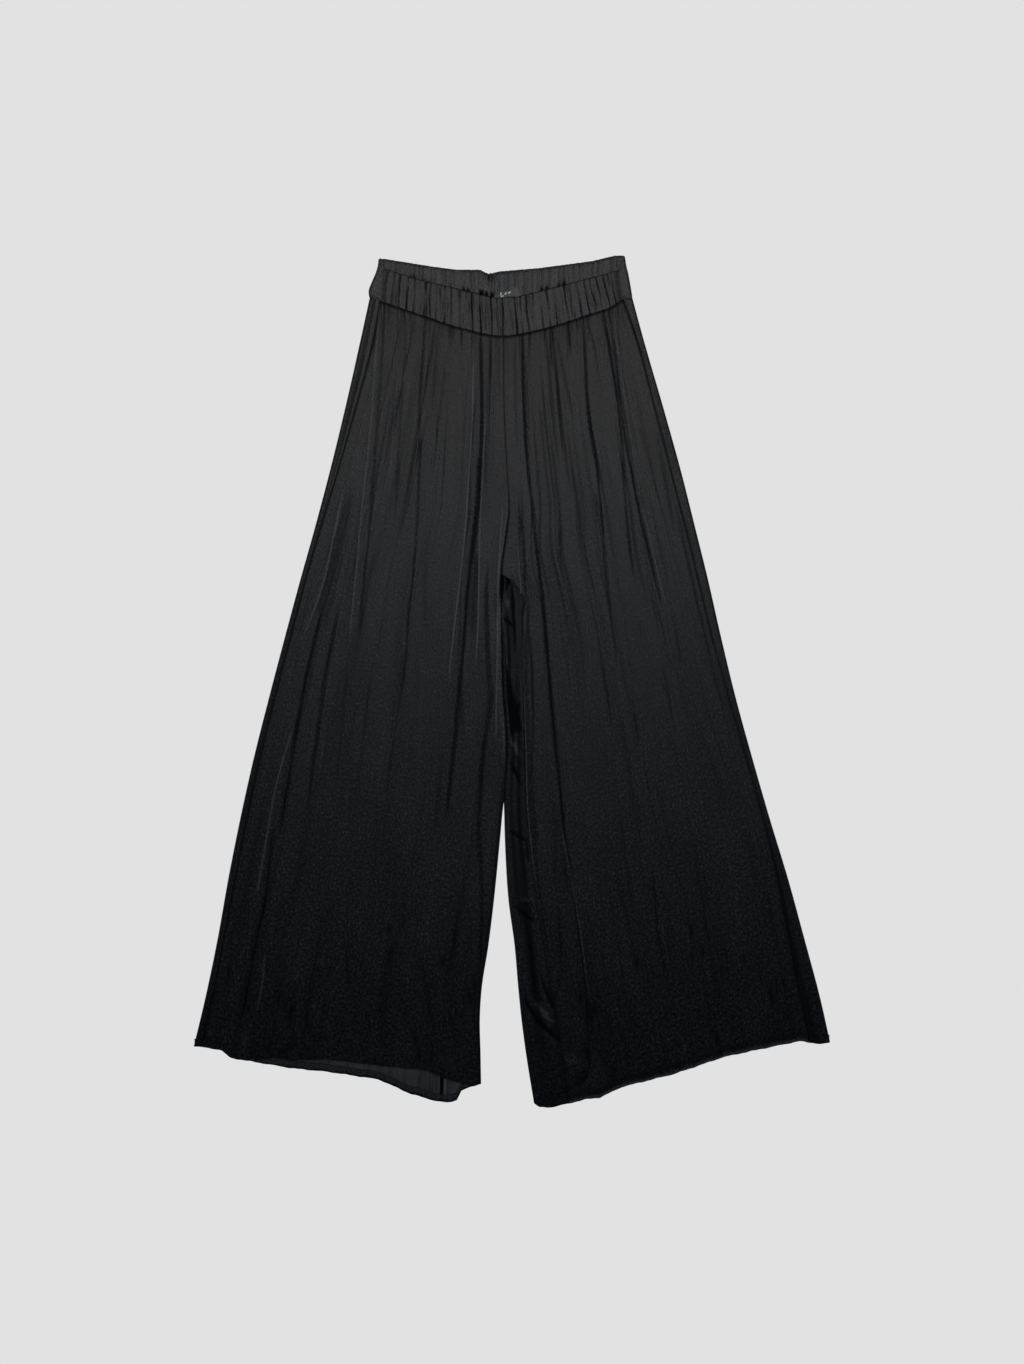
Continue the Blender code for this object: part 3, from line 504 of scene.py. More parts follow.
FOLD_RISE = 1.15 * MM    # rise for each millimetre in the tables
RIDGE_SHARE = 0.4        # of it that a ridge has
BROAD = 5.0              # half width from which a fold is broad and soft
TROUGH_WIDTH = 0.48      # of a narrow fold's dip, as a share of its half width,
RIDGE_WIDTH = 1.2        # of a ridge
LINE_WIDTH = 0.34        # of a fold's line of painted shade or painted highlight,
BROAD_LINE_WIDTH = 1.1   # and of a broad fold's painted shade
BROAD_SHADE = 0.4        # how dark that painted shade is, as a share of a narrow fold's line
RIDGE_HIGHLIGHT = 2.8              # how bright a ridge's painted highlight is, for a shading of 1,
FAINT_RIDGE_HIGHLIGHT = 1.4        # and a faint ridge's
HIGHLIGHTED_FROM = 0.5        # shading from which a ridge gets the brighter painted highlight
FADE = 45.0              # millimetres over which a fold's end fades out,
SHORT_FADE = 10.0        # or where another fold takes up from it
SEWN_FROM = 430          # a fold that starts higher comes out of the waist seam at full depth
REACH_OF_NEXT = (4, 6)   # how near, in y and x, another fold has to be to take up
WRINKLE_RISE = 1.7       # rise of a short wrinkle for each millimetre in the tables
WRINKLE_SHADE = 1.3      # how strong its painted shade is, for a shade of 1
WRINKLE_LINE_WIDTH = 0.7


def crest(across):
    """A ridge's section, sharper at its top than a round one."""
    return np.exp(-np.abs(across) ** 1.4)


def runs_on(folds, name, x, y):
    """Whether another fold takes up where this one ends at (x, y)."""
    for other, top, bottom, stations, _, _, _ in folds:
        if other != name and bottom - REACH_OF_NEXT[0] < y < top + REACH_OF_NEXT[0]:
            t = np.clip((top - y) / (top - bottom), 0.0, 1.0) * 3
            if abs(np.interp(t, (0, 1, 2, 3), stations) - x) < REACH_OF_NEXT[1]:
                return True
    return False


def fold_relief(folds, x, y):
    """Height and painted shading that the folds add; where two overlap, the stronger one counts.
    """
    trough, ridge, dark, bright = (np.zeros_like(x) for _ in range(4))
    for name, top, bottom, stations, height, reach, painted_shading in folds:
        length = top - bottom
        t = (top * MM - y) / (length * MM)
        fades = [min(0.5, FADE / length)] * 2
        if runs_on(folds, name, stations[0], top):
            fades[0] = SHORT_FADE / length
        if runs_on(folds, name, stations[3], bottom):
            fades[1] = SHORT_FADE / length
        starts = 1.0 if top > SEWN_FROM else soft_step(0.0, fades[0], t)
        window = starts * soft_step(0.0, fades[1], 1.0 - t)
        line = smooth((0.0, 1 / 3, 2 / 3, 1.0), stations, np.clip(t, 0.0, 1.0)) * MM
        across = (x - line) / (reach * MM)
        broad = reach >= BROAD
        if height < 0:
            section = crest(across / (1.0 if broad else TROUGH_WIDTH))
            trough = np.minimum(trough, height * FOLD_RISE * window * section)
        else:
            section = crest(across / RIDGE_WIDTH)
            ridge = np.maximum(ridge, RIDGE_SHARE * height * FOLD_RISE * window * section)
        if painted_shading < 0:
            strength = (BROAD_SHADE if broad else 1.0) * painted_shading * window
            half = BROAD_LINE_WIDTH if broad else LINE_WIDTH
            dark = np.minimum(dark, strength * soft_line(across, half))
        else:
            strength = (RIDGE_HIGHLIGHT if painted_shading >= HIGHLIGHTED_FROM else FAINT_RIDGE_HIGHLIGHT) * painted_shading * window
            bright = np.maximum(bright, strength * soft_line(across, LINE_WIDTH))
    return trough + ridge, dark + bright


def wrinkle_relief(wrinkles, x, y):
    """Height and painted shading that short straight wrinkles add, one on top of the other."""
    rise = np.zeros_like(x)
    shade = np.zeros_like(x)
    for (x0, y0), (x1, y1), height, reach, painted_shading in wrinkles:
        run_x, run_y = (x1 - x0) * MM, (y1 - y0) * MM
        length = math.hypot(run_x, run_y)
        t = ((x - x0 * MM) * run_x + (y - y0 * MM) * run_y) / length ** 2
        t = np.clip(t, 0.0, 1.0)
        away = np.hypot(x - x0 * MM - t * run_x, y - y0 * MM - t * run_y)
        across = away / (reach * MM)
        taper = 0.35 + 0.65 * np.sin(math.pi * t)
        rise += height * WRINKLE_RISE * MM * taper * crest(across)
        shade += WRINKLE_SHADE * painted_shading * taper * soft_line(across, WRINKLE_LINE_WIDTH)
    return rise, shade


def crinkles(u, y, width, heights, count, seed):
    """Many slight creases that follow the flare: u runs from 0 to 1 across the panel."""
    random = np.random.default_rng(seed)
    rise = np.zeros_like(y)
    shade = np.zeros_like(y)
    low, high = heights
    for _ in range(count):
        place = random.uniform(0.02, 0.98)
        drift = random.normal(0.0, 0.012)
        middle = random.uniform(low, high)
        half = random.uniform(0.03, 0.16)
        height = random.uniform(0.15, 0.55) * random.choice([-1.0, 1.0]) * MM
        reach = random.uniform(1.2, 3.0) * MM
        t = (y - middle) / half
        window = np.exp(-t ** 4)
        across = (u - place - drift * t) * width / reach
        bump = window * crest(across)
        rise += height * bump
        # painted highlight on raised crinkles, and stronger painted shade in sunken ones
        shade += (0.25 if height > 0 else 0.75) * height / MM * bump
    return rise, shade


def crumples(x, y, box, count, seed):
    """Short creases in all directions, as near a hem: box is their x and y range."""
    random = np.random.default_rng(seed)
    rise = np.zeros_like(x)
    shade = np.zeros_like(x)
    for _ in range(count):
        place_x, place_y = random.uniform(box[0], box[1]), random.uniform(box[2], box[3])
        way = random.normal(0.0, 0.5)
        half = random.uniform(0.004, 0.012)
        reach = random.uniform(1.2, 2.4) * MM
        depth = random.uniform(-1.0, 0.45)
        along = (y - place_y) * math.cos(way) + (x - place_x) * math.sin(way)
        across = (x - place_x) * math.cos(way) - (y - place_y) * math.sin(way)
        bump = soft_line(along, half) * crest(across / reach)
        rise += depth * MM * bump
        # painted shade in sunken creases and painted highlight on raised ones
        shade += 1.6 * depth * bump
    return rise, shade


def gathers(x, down, count, seed):
    """Short fine tucks that hang from the waist seam, spreading as the panel does."""
    random = np.random.default_rng(seed)
    rise = np.zeros_like(x)
    shade = np.zeros_like(x)
    for place in random.uniform(-0.16, 0.14, count):
        length = random.uniform(0.008, 0.045)
        reach = random.uniform(0.5, 1.0) * MM
        depth = random.uniform(0.15, 0.5)
        flare = 1.0 + 0.25 * down
        line = CENTRE_X + (place - CENTRE_X) * flare
        bump = soft_line(down, length) * crest((x - line) / reach)
        rise -= depth * MM * bump
        # painted shade in each tuck
        shade -= 0.8 * depth * bump
    return rise, shade


def swells(u, y, width, heights, count, seed):
    """Broad soft waves along the leg."""
    random = np.random.default_rng(seed)
    rise = np.zeros_like(y)
    low, high = heights
    for _ in range(count):
        place = random.uniform(0.03, 0.97)
        middle = random.uniform(low, high)
        half = random.uniform(0.10, 0.28)
        height = random.uniform(0.4, 1.1) * random.choice([-1.0, 1.0]) * MM
        reach = random.uniform(7.0, 18.0) * MM
        window = np.exp(-((y - middle) / half) ** 4)
        rise += height * window * soft_line((u - place) * width, reach)
    return rise


# ---------------------------------------------------------------- making cloth

def rows_between(spans):
    """Shares from 0 to 1 of a length, closer where a span (share, rows) is dense."""
    shares = [0.0]
    for share, rows in spans:
        start = shares[-1]
        shares += [blend(start, share, k / rows) for k in range(1, rows + 1)]
    return np.array(shares)


def segments(*runs):
    """Places of columns from 0 to 1, 1 to 2 and so on, with each run's own number of them."""
    places = [0.0]
    for index, steps in enumerate(runs):
        places += [index + k / steps for k in range(1, steps + 1)]
    return np.array(places)


MAP_LENGTH = 1.02    # metres of cloth for 1 along the map


def cloth(name, x, y, z, painted_shading, wall, materials, thickness=None):
    """A sheet shaped from a grid, with its wall given inwards, a map of its cloth and its painted
    shading.
    """
    rows, columns = x.shape
    bpy.ops.object.select_all(action="DESELECT")
    bpy.ops.mesh.primitive_grid_add(
        x_subdivisions=columns - 1, y_subdivisions=rows - 1, size=1.0)
    sheet = bpy.context.object
    sheet.name = sheet.data.name = name
    mesh = sheet.data
    places = np.stack([x, y, z], axis=-1)[::-1]
    mesh.vertices.foreach_set("co", places.astype(np.float32).ravel())
    layer = mesh.attributes.new("painted_shading", "FLOAT", "POINT")
    layer.data.foreach_set("value", painted_shading[::-1].astype(np.float32).ravel())
    steps_across = np.hypot(np.diff(x, axis=1), np.diff(z, axis=1)).mean(axis=0)
    steps_along = np.abs(np.diff(y, axis=0)).mean(axis=1)
    map_x = np.concatenate([[0.0], np.cumsum(steps_across)])
    map_y = 1.0 - np.concatenate([[0.0], np.cumsum(steps_along)])[::-1] / MAP_LENGTH
    corner = np.empty(len(mesh.loops), dtype=np.int32)
    mesh.loops.foreach_get("vertex_index", corner)
    flat = np.stack([map_x[corner % columns], map_y[corner // columns]], axis=-1)
    mesh.uv_layers.active.data.foreach_set("uv", flat.astype(np.float32).ravel())
    mesh.update()
    for material in materials:
        mesh.materials.append(material)
    solidify = sheet.modifiers.new("wall", "SOLIDIFY")
    solidify.thickness = wall
    solidify.offset = -1.0
    solidify.material_offset = len(materials) - 1
    if thickness is not None:
        group = sheet.vertex_groups.new(name="thickness")
        for index, share in enumerate(thickness[::-1].ravel()):
            group.add([index], float(share), "REPLACE")
        solidify.vertex_group = group.name
    bpy.ops.object.modifier_apply(modifier="wall")
    bpy.ops.object.shade_smooth_by_angle(angle=math.radians(60.0))
    return sheet


def ends(section, places, waist, hem):
    """The y of each column's two ends, where its own x meets the waist and the hem."""
    top = np.full_like(places, 0.45)
    low = np.full_like(places, -0.49)
    for _ in range(5):
        top = waist(places, section(places, top)[0]) + 0.5 * MM
        low = hem(places, section(places, low)[0]) + HEM_FOLD / 2
    return top, low


def inward(x, z):
    """The directions from each row's outline into the leg."""
    run_x = np.gradient(x, axis=1)
    run_z = np.gradient(z, axis=1)
    length = np.hypot(run_x, run_z)
    return run_z / length, -run_x / length


# Rows of the hem that is turned up inside: share of its depth, share of the distance
# between its two layers, and the shading painted into its colour
TURNED_UP = ((0.35, 1.0, 0.8), (0.7, 1.0, 0.8), (0.94, 1.0, -0.2), (1.0, 0.5, -1.2))


def hemmed(x, y, z, painted_shading):
    """The turned-up hem: the cloth goes round its lower edge and up inside."""
    into_x, into_z = inward(x[-1:], z[-1:])
    rows_x, rows_y, rows_z, rows_shading = [x], [y], [z], [painted_shading]
    for angle in (45, 90, 135, 180):
        way = math.radians(angle)
        depth = HEM_FOLD / 2 * (1 - math.cos(way))
        rows_x.append(x[-1:] + into_x * depth)
        rows_z.append(z[-1:] + into_z * depth)
        rows_y.append(y[-1:] - HEM_FOLD / 2 * math.sin(way))
        rows_shading.append(painted_shading[-1:])
    for share, depth, inside in TURNED_UP:
        rows_x.append(x[-1:] + into_x * HEM_FOLD * depth)
        rows_z.append(z[-1:] + into_z * HEM_FOLD * depth)
        rows_y.append(y[-1:] + HEM_DEPTH * share)
        rows_shading.append(np.full_like(painted_shading[-1:], inside))
    return [np.concatenate(part) for part in (rows_x, rows_y, rows_z, rows_shading)]


def stitched(y, low):
    """The stitch line above a hem, with painted shade along its groove."""
    groove = soft_line(y - low - HEM_DEPTH, 0.0011)
    return -0.18 * MM * groove, -0.35 * groove


WAIST_SHARE = 0.45    # of their depth that the folds have where the waist seam holds them
GROOVE_SHADE = -0.9   # painted shade along the long seams
WAIST_SHADE = -0.8    # and under the waist seam


def lie(x, y, u, from_side, from_centre, centre_top, waist, low, folds, wrinkles, seed):
    """Height and painted shading of a front panel: plain level, folds, seams and hem.

    from_side and from_centre are distances from its two long edges, centre_top is its
    height at the inner one, and u runs from 0 to 1 across it.
    """
    rise, shade = fold_relief(folds, x, y)
    more, dark = wrinkle_relief(wrinkles, x, y)
    over, seamed = stitched(y, low)
    crushed, crumple_shade = crumples(x, y, (x.min(), x.max(), *CRUSHED), count=100, seed=71)
    slight, crinkle_shade = crinkles(u, y, LEG_WIDTH, CREASED, count=110, seed=seed)
    wave = swells(u, y, LEG_WIDTH, SWELLING, count=16, seed=seed + 1)
    rise += more + slight + over + wave + crushed
    shade += dark + crinkle_shade + seamed + crumple_shade
    down = waist - y
    rise *= blend(WAIST_SHARE, 1.0, soft_step(0.0, 0.03, down))
    tucks, tucked = gathers(x, down, count=110, seed=61)
    rise += tucks
    shade += tucked
    from_edge = np.maximum(np.minimum(from_side, from_centre), 0.0)
    plain = front_level(y) + rise * soft_step(0.0, 0.005, from_edge)
    lowest = blend(LOWEST_TOP, HEM_LEVEL - 0.4 * MM, soft_step(0.0, 0.02, low + 0.03 - y))
    level = np.maximum(plain, lowest)
    level = blend(strip_top(y), level, soft_step(-0.0004, 0.0035, from_side))
    level = blend(centre_top, level, soft_step(0.0, 0.008, from_centre))
    faint = np.where(from_side > from_centre, 1.0 - 0.75 * flat_seam(y), 1.0)
    groove = soft_line(from_edge, SEAM_GROOVE) * faint
    return level, shade + GROOVE_SHADE * groove + WAIST_SHADE * soft_line(down, 0.0022)


# ---------------------------------------------------------------- shader words

class Term:
    """A value on a socket; sums, differences and products of terms become nodes."""

    def __init__(self, finish, socket):
        self.finish = finish
        self.socket = socket

    def math(self, operation, first, second):
        return self.finish.node("ShaderNodeMath", {"operation": operation},
                                {0: first, 1: second})

    def __add__(self, other):
        return self.math("ADD", self, other)

    def __radd__(self, other):
        return self.math("ADD", other, self)

    def __sub__(self, other):
        return self.math("SUBTRACT", self, other)

    def __rsub__(self, other):
        return self.math("SUBTRACT", other, self)

    def __mul__(self, other):
        return self.math("MULTIPLY", self, other)

    def __rmul__(self, other):
        return self.math("MULTIPLY", other, self)

    def clamped(self):
        return self.finish.node("ShaderNodeMath", {"operation": "ADD", "use_clamp": True},
                                {0: self, 1: 0.0})


class Finish:
    """A material, or the room's light, and the nodes that it is made of."""

    def __init__(self, owner, shader="Principled BSDF"):
        owner.use_nodes = True
        self.owner = owner
        self.tree = owner.node_tree
        self.shader = self.tree.nodes[shader]

    def node(self, kind, settings, inputs, output=0):
        made = self.tree.nodes.new(kind)
        for key, value in settings.items():
            if key == "stops":
                elements = made.color_ramp.elements
                elements.remove(elements[1])
                for place, colour in value:
                    elements.new(place).color = colour
                elements.remove(elements[0])
            else:
                setattr(made, key, value)
        for key, value in inputs.items():
            self.join(made.inputs[key], value)
        return Term(self, made.outputs[output])

    def join(self, socket, value):
        if isinstance(value, Term):
            self.tree.links.new(value.socket, socket)
        else:
            socket.default_value = value

    def set(self, **values):
        for key, value in values.items():
            self.join(self.shader.inputs[key.replace("_", " ")], value)

    def place(self, kind):
        return self.node("ShaderNodeTexCoord", {}, {}, kind)

    def noise(self, place, across, along, detail=2.0):
        """Soft noise with its own number of grains across and along the cloth."""
        stretched = self.node("ShaderNodeMapping", {}, {
            "Vector": place, "Scale": (across, along, 1.0)})
        return self.node("ShaderNodeTexNoise", {}, {
            "Vector": stretched, "Scale": 1.0, "Detail": detail, "Roughness": 0.6})

    def bump(self, strength, distance, height):
        return self.node("ShaderNodeBump", {}, {
            "Strength": strength, "Distance": distance, "Height": height})

    def ramp(self, stops, factor):
        return self.node("ShaderNodeValToRGB", {"stops": stops}, {"Fac": factor})

    def mixed(self, factor, first, second):
        return self.node("ShaderNodeMix", {"data_type": "RGBA"},
                         {0: factor, 6: first, 7: second}, 2)


def satin(name, stops, rough, depth):
    """Crinkled satin: fine pleats along the cloth, its grain, and its folds' painted shade and
    highlights.
    """
    finish = Finish(bpy.data.materials.new(name))
    place = finish.place("UV")
    painted_shading = finish.node("ShaderNodeAttribute", {"attribute_name": "painted_shading"}, {}, "Fac")
    pleats = finish.noise(place, 330.0, 14.0, detail=3.0)
    grain = finish.noise(place, 480.0, 300.0)
    weft = finish.noise(place, 60.0, 1100.0)
    patches = finish.noise(place, 28.0, 7.0)
    painted_shade_and_grain = (painted_shading * 0.5 + 0.5 + (pleats - 0.5) * 0.35 + (grain - 0.5) * 2.0
            + (patches - 0.5) * 0.35).clamped()
    dull = finish.node("ShaderNodeMath", {"operation": "MAXIMUM"}, {0: 0.0 - painted_shading, 1: 0.0})
    finish.set(Base_Color=finish.ramp(stops, painted_shade_and_grain), Specular_IOR_Level=0.22,
               Normal=finish.bump(0.6, depth, pleats * 0.7 + grain * 1.1 + weft * 0.3),
               Roughness=(rough + dull * 0.3 + (grain - 0.5) * 0.3).clamped())
    return finish.owner


def matte_side(name, stops):
    """The cloth's wrong side, dull and paler, with painted shade where it lies in shadow."""
    finish = Finish(bpy.data.materials.new(name))
    place = finish.place("UV")
    painted_shading = finish.node("ShaderNodeAttribute", {"attribute_name": "painted_shading"}, {}, "Fac")
    weave = finish.noise(place, 500.0, 500.0)
    streaks = finish.noise(place, 260.0, 14.0)
    painted_shade_and_grain = (painted_shading * 0.5 + 0.5 + (streaks - 0.5) * 0.8 + (weave - 0.5) * 0.6).clamped()
    finish.set(Base_Color=finish.ramp(stops, painted_shade_and_grain), Specular_IOR_Level=0.12, Roughness=0.85,
               Normal=finish.bump(0.5, 0.0004, weave + streaks))
    return finish.owner


def yarn(name, kind, across, along, dark, light, rough):
    """Plain fibres that run between two colours, for the label's tape and its thread."""
    finish = Finish(bpy.data.materials.new(name))
    fibres = finish.noise(finish.place(kind), across, along)
    finish.set(Base_Color=finish.mixed(fibres, dark, light), Roughness=rough,
               Normal=finish.bump(0.5, 0.0002, fibres))
    return finish.owner


# Colours of the cloth, with its grain, from its deepest painted shade to its brightest painted
# highlight
BLACK = (
    (0.0, (0.0004, 0.0004, 0.0004, 1.0)),
    (0.3, (0.0050, 0.0050, 0.0055, 1.0)),
    (0.5, (0.0130, 0.0130, 0.0141, 1.0)),
    (0.75, (0.0270, 0.0270, 0.0290, 1.0)),
    (1.0, (0.0620, 0.0620, 0.0660, 1.0)),
)
PALE = (
    (0.0, (0.0015, 0.0016, 0.0018, 1.0)),
    (0.3, (0.0700, 0.0710, 0.0690, 1.0)),
    (1.0, (0.1750, 0.1770, 0.1710, 1.0)),
)
leg_satin = satin("crinkled_satin", BLACK, rough=0.42, depth=0.0006)
band_satin = satin("gathered_satin", BLACK, rough=0.40, depth=0.0005)
wrong_side = matte_side("satin_wrong_side", PALE)
tape = yarn("label_tape", "UV", 700.0, 2400.0,
            (0.03, 0.03, 0.031, 1), (0.12, 0.12, 0.12, 1), rough=0.6)
pale_thread = yarn("pale_thread", "Object", 900.0, 2600.0,
                   (0.70, 0.70, 0.69, 1), (0.92, 0.92, 0.91, 1), rough=0.7)


# ---------------------------------------------------------------- legs

# Shares of the way from the waist seam to the hem, and the rows up to each
FRONT_SPANS = ((0.0003, 1), (0.012, 3), (0.305, 34), (0.345, 26), (0.42, 12), (0.93, 50),
               (0.97, 5), (1.0, 8))
LEFT_BACK_SPANS = ((0.0003, 1), (0.01, 3), (0.30, 30), (0.36, 24), (0.93, 90), (1.0, 30))
RIGHT_BACK_SPANS = ((0.0003, 1), (0.01, 3), (0.30, 36), (0.42, 60), (0.97, 290), (1.0, 16))


WAIST_TUCK = 0.25 * MM    # how far a panel's upper edge turns in under the waistband


def panel(name, node, section, waist, hem, places, spans, dress):
    """One leg panel, placed by section, waist and hem and given its folds by dress.

    places are its columns p, section gives x and z at p and y, waist and hem give the y
    of a column's ends, and dress gives height and painted shading at every point.
    """
    top, low = ends(section, places, waist, hem)
    shares = rows_between(spans)[:, None]
    y = blend(top[None, :], low[None, :], shares)
    across = np.broadcast_to(places[None, :], y.shape)
    x, z = section(across, y)
    top = np.broadcast_to(top, y.shape)
    z, painted_shading = dress(across, x, y, z, top, np.broadcast_to(low, y.shape))
    into_x, into_z = inward(x, z)
    tucked = WAIST_TUCK * soft_line(top - y, 0.0002)
    x, y, z, painted_shading = hemmed(x + into_x * tucked, y, z + into_z * tucked, painted_shading)
    piece = cloth(name, x, y, z, painted_shading, CLOTH, [leg_satin, wrong_side])
    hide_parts(node)
    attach(piece, "root")
    return piece


def left_front(p, y):
    """On top for p up to 1, round the inner edge, and turned under from 2 to 3."""
    seam = column(LEG_SIDES, 2, y) - LAP / 2
    inner, radius, rest = left_inner(y), inner_radius(y), left_rest(y)
    top_x = blend(seam, inner - radius, np.clip(p, 0, 1))
    turn_x, turn_z = turn(inner, radius, 1, math.pi * np.clip(p - 1, 0, 1))
    under_x = inner - radius - under_width(y) * np.clip(p - 2, 0, 1)
    x = np.where(p <= 1, top_x, np.where(p <= 2, turn_x, under_x))
    z = np.where(p <= 1, front_level(y), np.where(p <= 2, rest + turn_z, rest))
    plain_z = np.where(p <= 1, 2 * radius, np.where(p <= 2, turn_z, 0.0))
    return leaning(x, plain_z, y, inner), z


def right_front_start(y):
    """The free edge at the centre: the seam line, then the flap's end, then the inseam."""
    inseam = right_inseam(y) + SEAM_GAP / 2 + release(y)
    flap = np.interp(-y, [-row[0] for row in FLAP_EDGE], [row[1] for row in FLAP_EDGE])
    last_y = FLAP_EDGE[-1][0]
    below = blend(inseam, flap, soft_step(last_y - 0.004, last_y + 0.004, y))
    return np.where(y >= FLAP_EDGE[0][0], centre_line(y) + SEAM_GAP / 2, below)


def right_front(p, y):
    """On top all the way; only its columns near the centre follow the free edge."""
    start = right_front_start(y)
    easy = blend(0.0112, centre_line(np.maximum(y, 0.16)), soft_step(0.06, 0.20, y))
    easy = blend(right_inseam(np.minimum(y, 0.10)), easy, soft_step(0.04, 0.10, y))
    seam = column(LEG_SIDES, 3, y) + LAP / 2
    local = (start - easy) * np.clip(1.0 - p / 0.2, 0.0, 1.0) ** 2
    return blend(easy, seam, p) + local, front_level(y)


def left_back(p, y):
    """On the floor from the inseam for p up to 1, round the side, and on top from 2 to 3."""
    inseam = left_inner(y) - inner_radius(y) - under_width(y) - SEAM_GAP - release(y)
    inseam = inseam + (LAP + RELEASE) * soft_step(0.0, 0.03, 0.09 - y)
    hole = right_inner(y) + 0.35 * MM
    start = np.where(y >= CROTCH_Y, CENTRE_X + LAP,
                     blend(inseam, hole, soft_step(0.093, 0.099, y)))
    edge, radius = column(LEG_SIDES, 1, y), side_radius(y)
    seam = column(LEG_SIDES, 2, y)
    floor_x = blend(start, edge + radius, np.clip(p, 0, 1))
    turn_x, turn_z = turn(edge, radius, -1, math.pi * (1 - np.clip(p - 1, 0, 1)))
    strip_x = blend(edge + radius, seam, np.clip(p - 2, 0, 1))
    x = np.where(p <= 1, floor_x, np.where(p <= 2, turn_x, strip_x))
    over = 1.0 - soft_step(LAP, 3 * LAP, start - floor_x)
    step = blend(CLOTH + 0.06 * MM, HEM_FOLD + 0.1 * MM, soft_step(0.42, 0.46, -y))
    lapped = np.where(y >= CROTCH_Y, soft_step(0.0, 0.01, y - CROTCH_Y), 0.0)
    lapped = np.maximum(lapped, soft_step(0.0, 0.02, 0.085 - y))
    z = np.where(p <= 1, step * over * lapped, np.where(p <= 2, turn_z, 2 * radius))
    return x, z


def right_back(p, y):
    """On top, round the side, over the floor, round the inner edge, and on top again."""
    edge, radius = column(LEG_SIDES, 4, y), side_radius(y)
    seam = column(LEG_SIDES, 3, y)
    inner, tight = right_inner(y), inner_radius(y)
    inseam = right_inseam(y) + LAP * soft_step(0.0, 0.02, 0.115 - y)
    side_x = blend(seam, edge - radius, np.clip(p, 0, 1))
    outer_x, outer_z = turn(edge, radius, 1, math.pi * np.clip(p - 1, 0, 1))
    floor_x = blend(edge - radius, inner + tight, np.clip(p - 2, 0, 1))
    inner_x, inner_z = turn(inner, tight, -1, math.pi * (1 - np.clip(p - 3, 0, 1)))
    strip_x = blend(inner + tight, inseam, np.clip(p - 4, 0, 1))
    part = [p <= 1, p <= 2, p <= 3, p <= 4]
    x = np.select(part, [side_x, outer_x, floor_x, inner_x], strip_x)
    z = np.select(part, [2 * radius, outer_z, 0.0, inner_z], 2 * tight)
    leant = leaning(x, z, y, inner)
    return np.where(p >= 2, leant, x), z


# Shading painted at single places: below 0 is darker than the plain cloth, above 0 is brighter
RIM_HIGHLIGHT = 1.3            # the left front's inner edge,
TURNED_SHADE = -0.4        # where it turns under
INSEAM_SHADE = -1.6        # and the seam beyond that
HEM_RIM_HIGHLIGHT = 1.4        # the right front's hem
INSIDE_SHADE = -2.6        # inside the left leg, at the crotch and along the seam at its hem
INSIDE_SEAM_X = -0.0875
INSIDE_LIGHTER = 0.7         # right of that seam
SHADOW_SHADE = -1.7        # the left leg's shadow, painted on the right leg's inner strip
PIT_SHADE = -4.0           # the strip's top, deep in the crotch
OPEN_HEM = (0.485, 0.492)  # distances below the middle from which the left hem gapes


def dress_left_front(p, x, y, z, top, low):
    """Folded cloth on top with a painted highlight at its inner edge; under it, plain cloth with
    painted shade.
    """
    radius = inner_radius(y)
    from_centre = left_inner(y) - radius - x
    lain, shade = lie(x, y, np.clip(p, 0, 1), x - column(LEG_SIDES, 2, y), from_centre,
                      left_rest(y) + 2 * radius, top, low, LEFT_FOLDS, LEFT_WRINKLES, 11)
    # painted highlight along the inner edge, from y 0.25 down to -0.16
    rim = 1.0 - soft_step(0.0, 0.004, from_centre)
    shade = shade + RIM_HIGHLIGHT * rim * stretch(y, -0.16, 0.1, 0.25, 0.05)
    inseam = INSEAM_SHADE * soft_line((3.0 - p) * under_width(y), 0.0016)
    under = np.where(p <= 2, TURNED_SHADE, inseam)
    return np.where(p <= 1, lain, z), np.where(p <= 1, shade, under)


def dress_right_front(p, x, y, z, top, low):
    """Folded cloth all over, with a painted highlight on its hem's edge and painted shade above
    it.
    """
    centre_top = blend(front_level(y), 2 * inner_radius(y) + CLOTH + CLEARANCE, lowered(y))
    lain, shade = lie(x, y, p, column(LEG_SIDES, 3, y) - x, x - right_front_start(y),
                      centre_top, top, low, RIGHT_FOLDS, RIGHT_WRINKLES, 23)
    up = y - low
    # painted highlight on the hem's edge, and painted shade 8 mm above it
    rim = 1.8 * soft_line(up, 0.0026) - 0.45 * soft_line(up - 0.008, 0.003)
    return lain, shade + HEM_RIM_HIGHLIGHT * rim * soft_step(0.05, 0.07, x)


def strip_dress(y, low, z, from_seam, from_edge, seed, p):
    """A strip that the back panel shows on top between edge and seam, with painted shade at the
    seam.
    """
    slight, crinkle_shade = crinkles(np.clip(p, 0, 1), y, 0.012, (-0.46, 0.44), count=46, seed=seed)
    over, seamed = stitched(y, low)
    keep = soft_step(0.0, 0.003, np.minimum(from_seam, from_edge))
    groove = soft_line(from_seam, 0.0008)
    return z + (0.6 * slight + over) * keep, 0.05 + 0.8 * crinkle_shade + seamed - 1.3 * groove


def dress_left_back(p, x, y, z, top, low):
    """Painted shadow under the crotch; where its hem gapes, a seam painted dark and lighter cloth
    beyond it.
    """
    seam = column(LEG_SIDES, 2, y)
    edge = column(LEG_SIDES, 1, y) + side_radius(y)
    height, shade = strip_dress(y, low, z, np.abs(seam - x), np.maximum(x - edge, 0), 31, p - 2)
    # painted shadow inside the left leg under the crotch, and at the gaping hem painted shade
    # along the seam inside it
    inside = INSIDE_SHADE * soft_step(-0.04, -0.02, x) * soft_step(0.0, 0.05, y)
    at_hem = soft_step(*OPEN_HEM, -y)
    past_seam = x - INSIDE_SEAM_X
    inside = inside + INSIDE_SHADE * at_hem * soft_line(past_seam, 0.0010)
    inside = inside + INSIDE_LIGHTER * at_hem * soft_step(0.0010, 0.0025, past_seam) - 0.25 * at_hem
    return np.where(p > 2, height, z), np.where(p > 2, shade, np.where(p > 1, 0.1, inside))


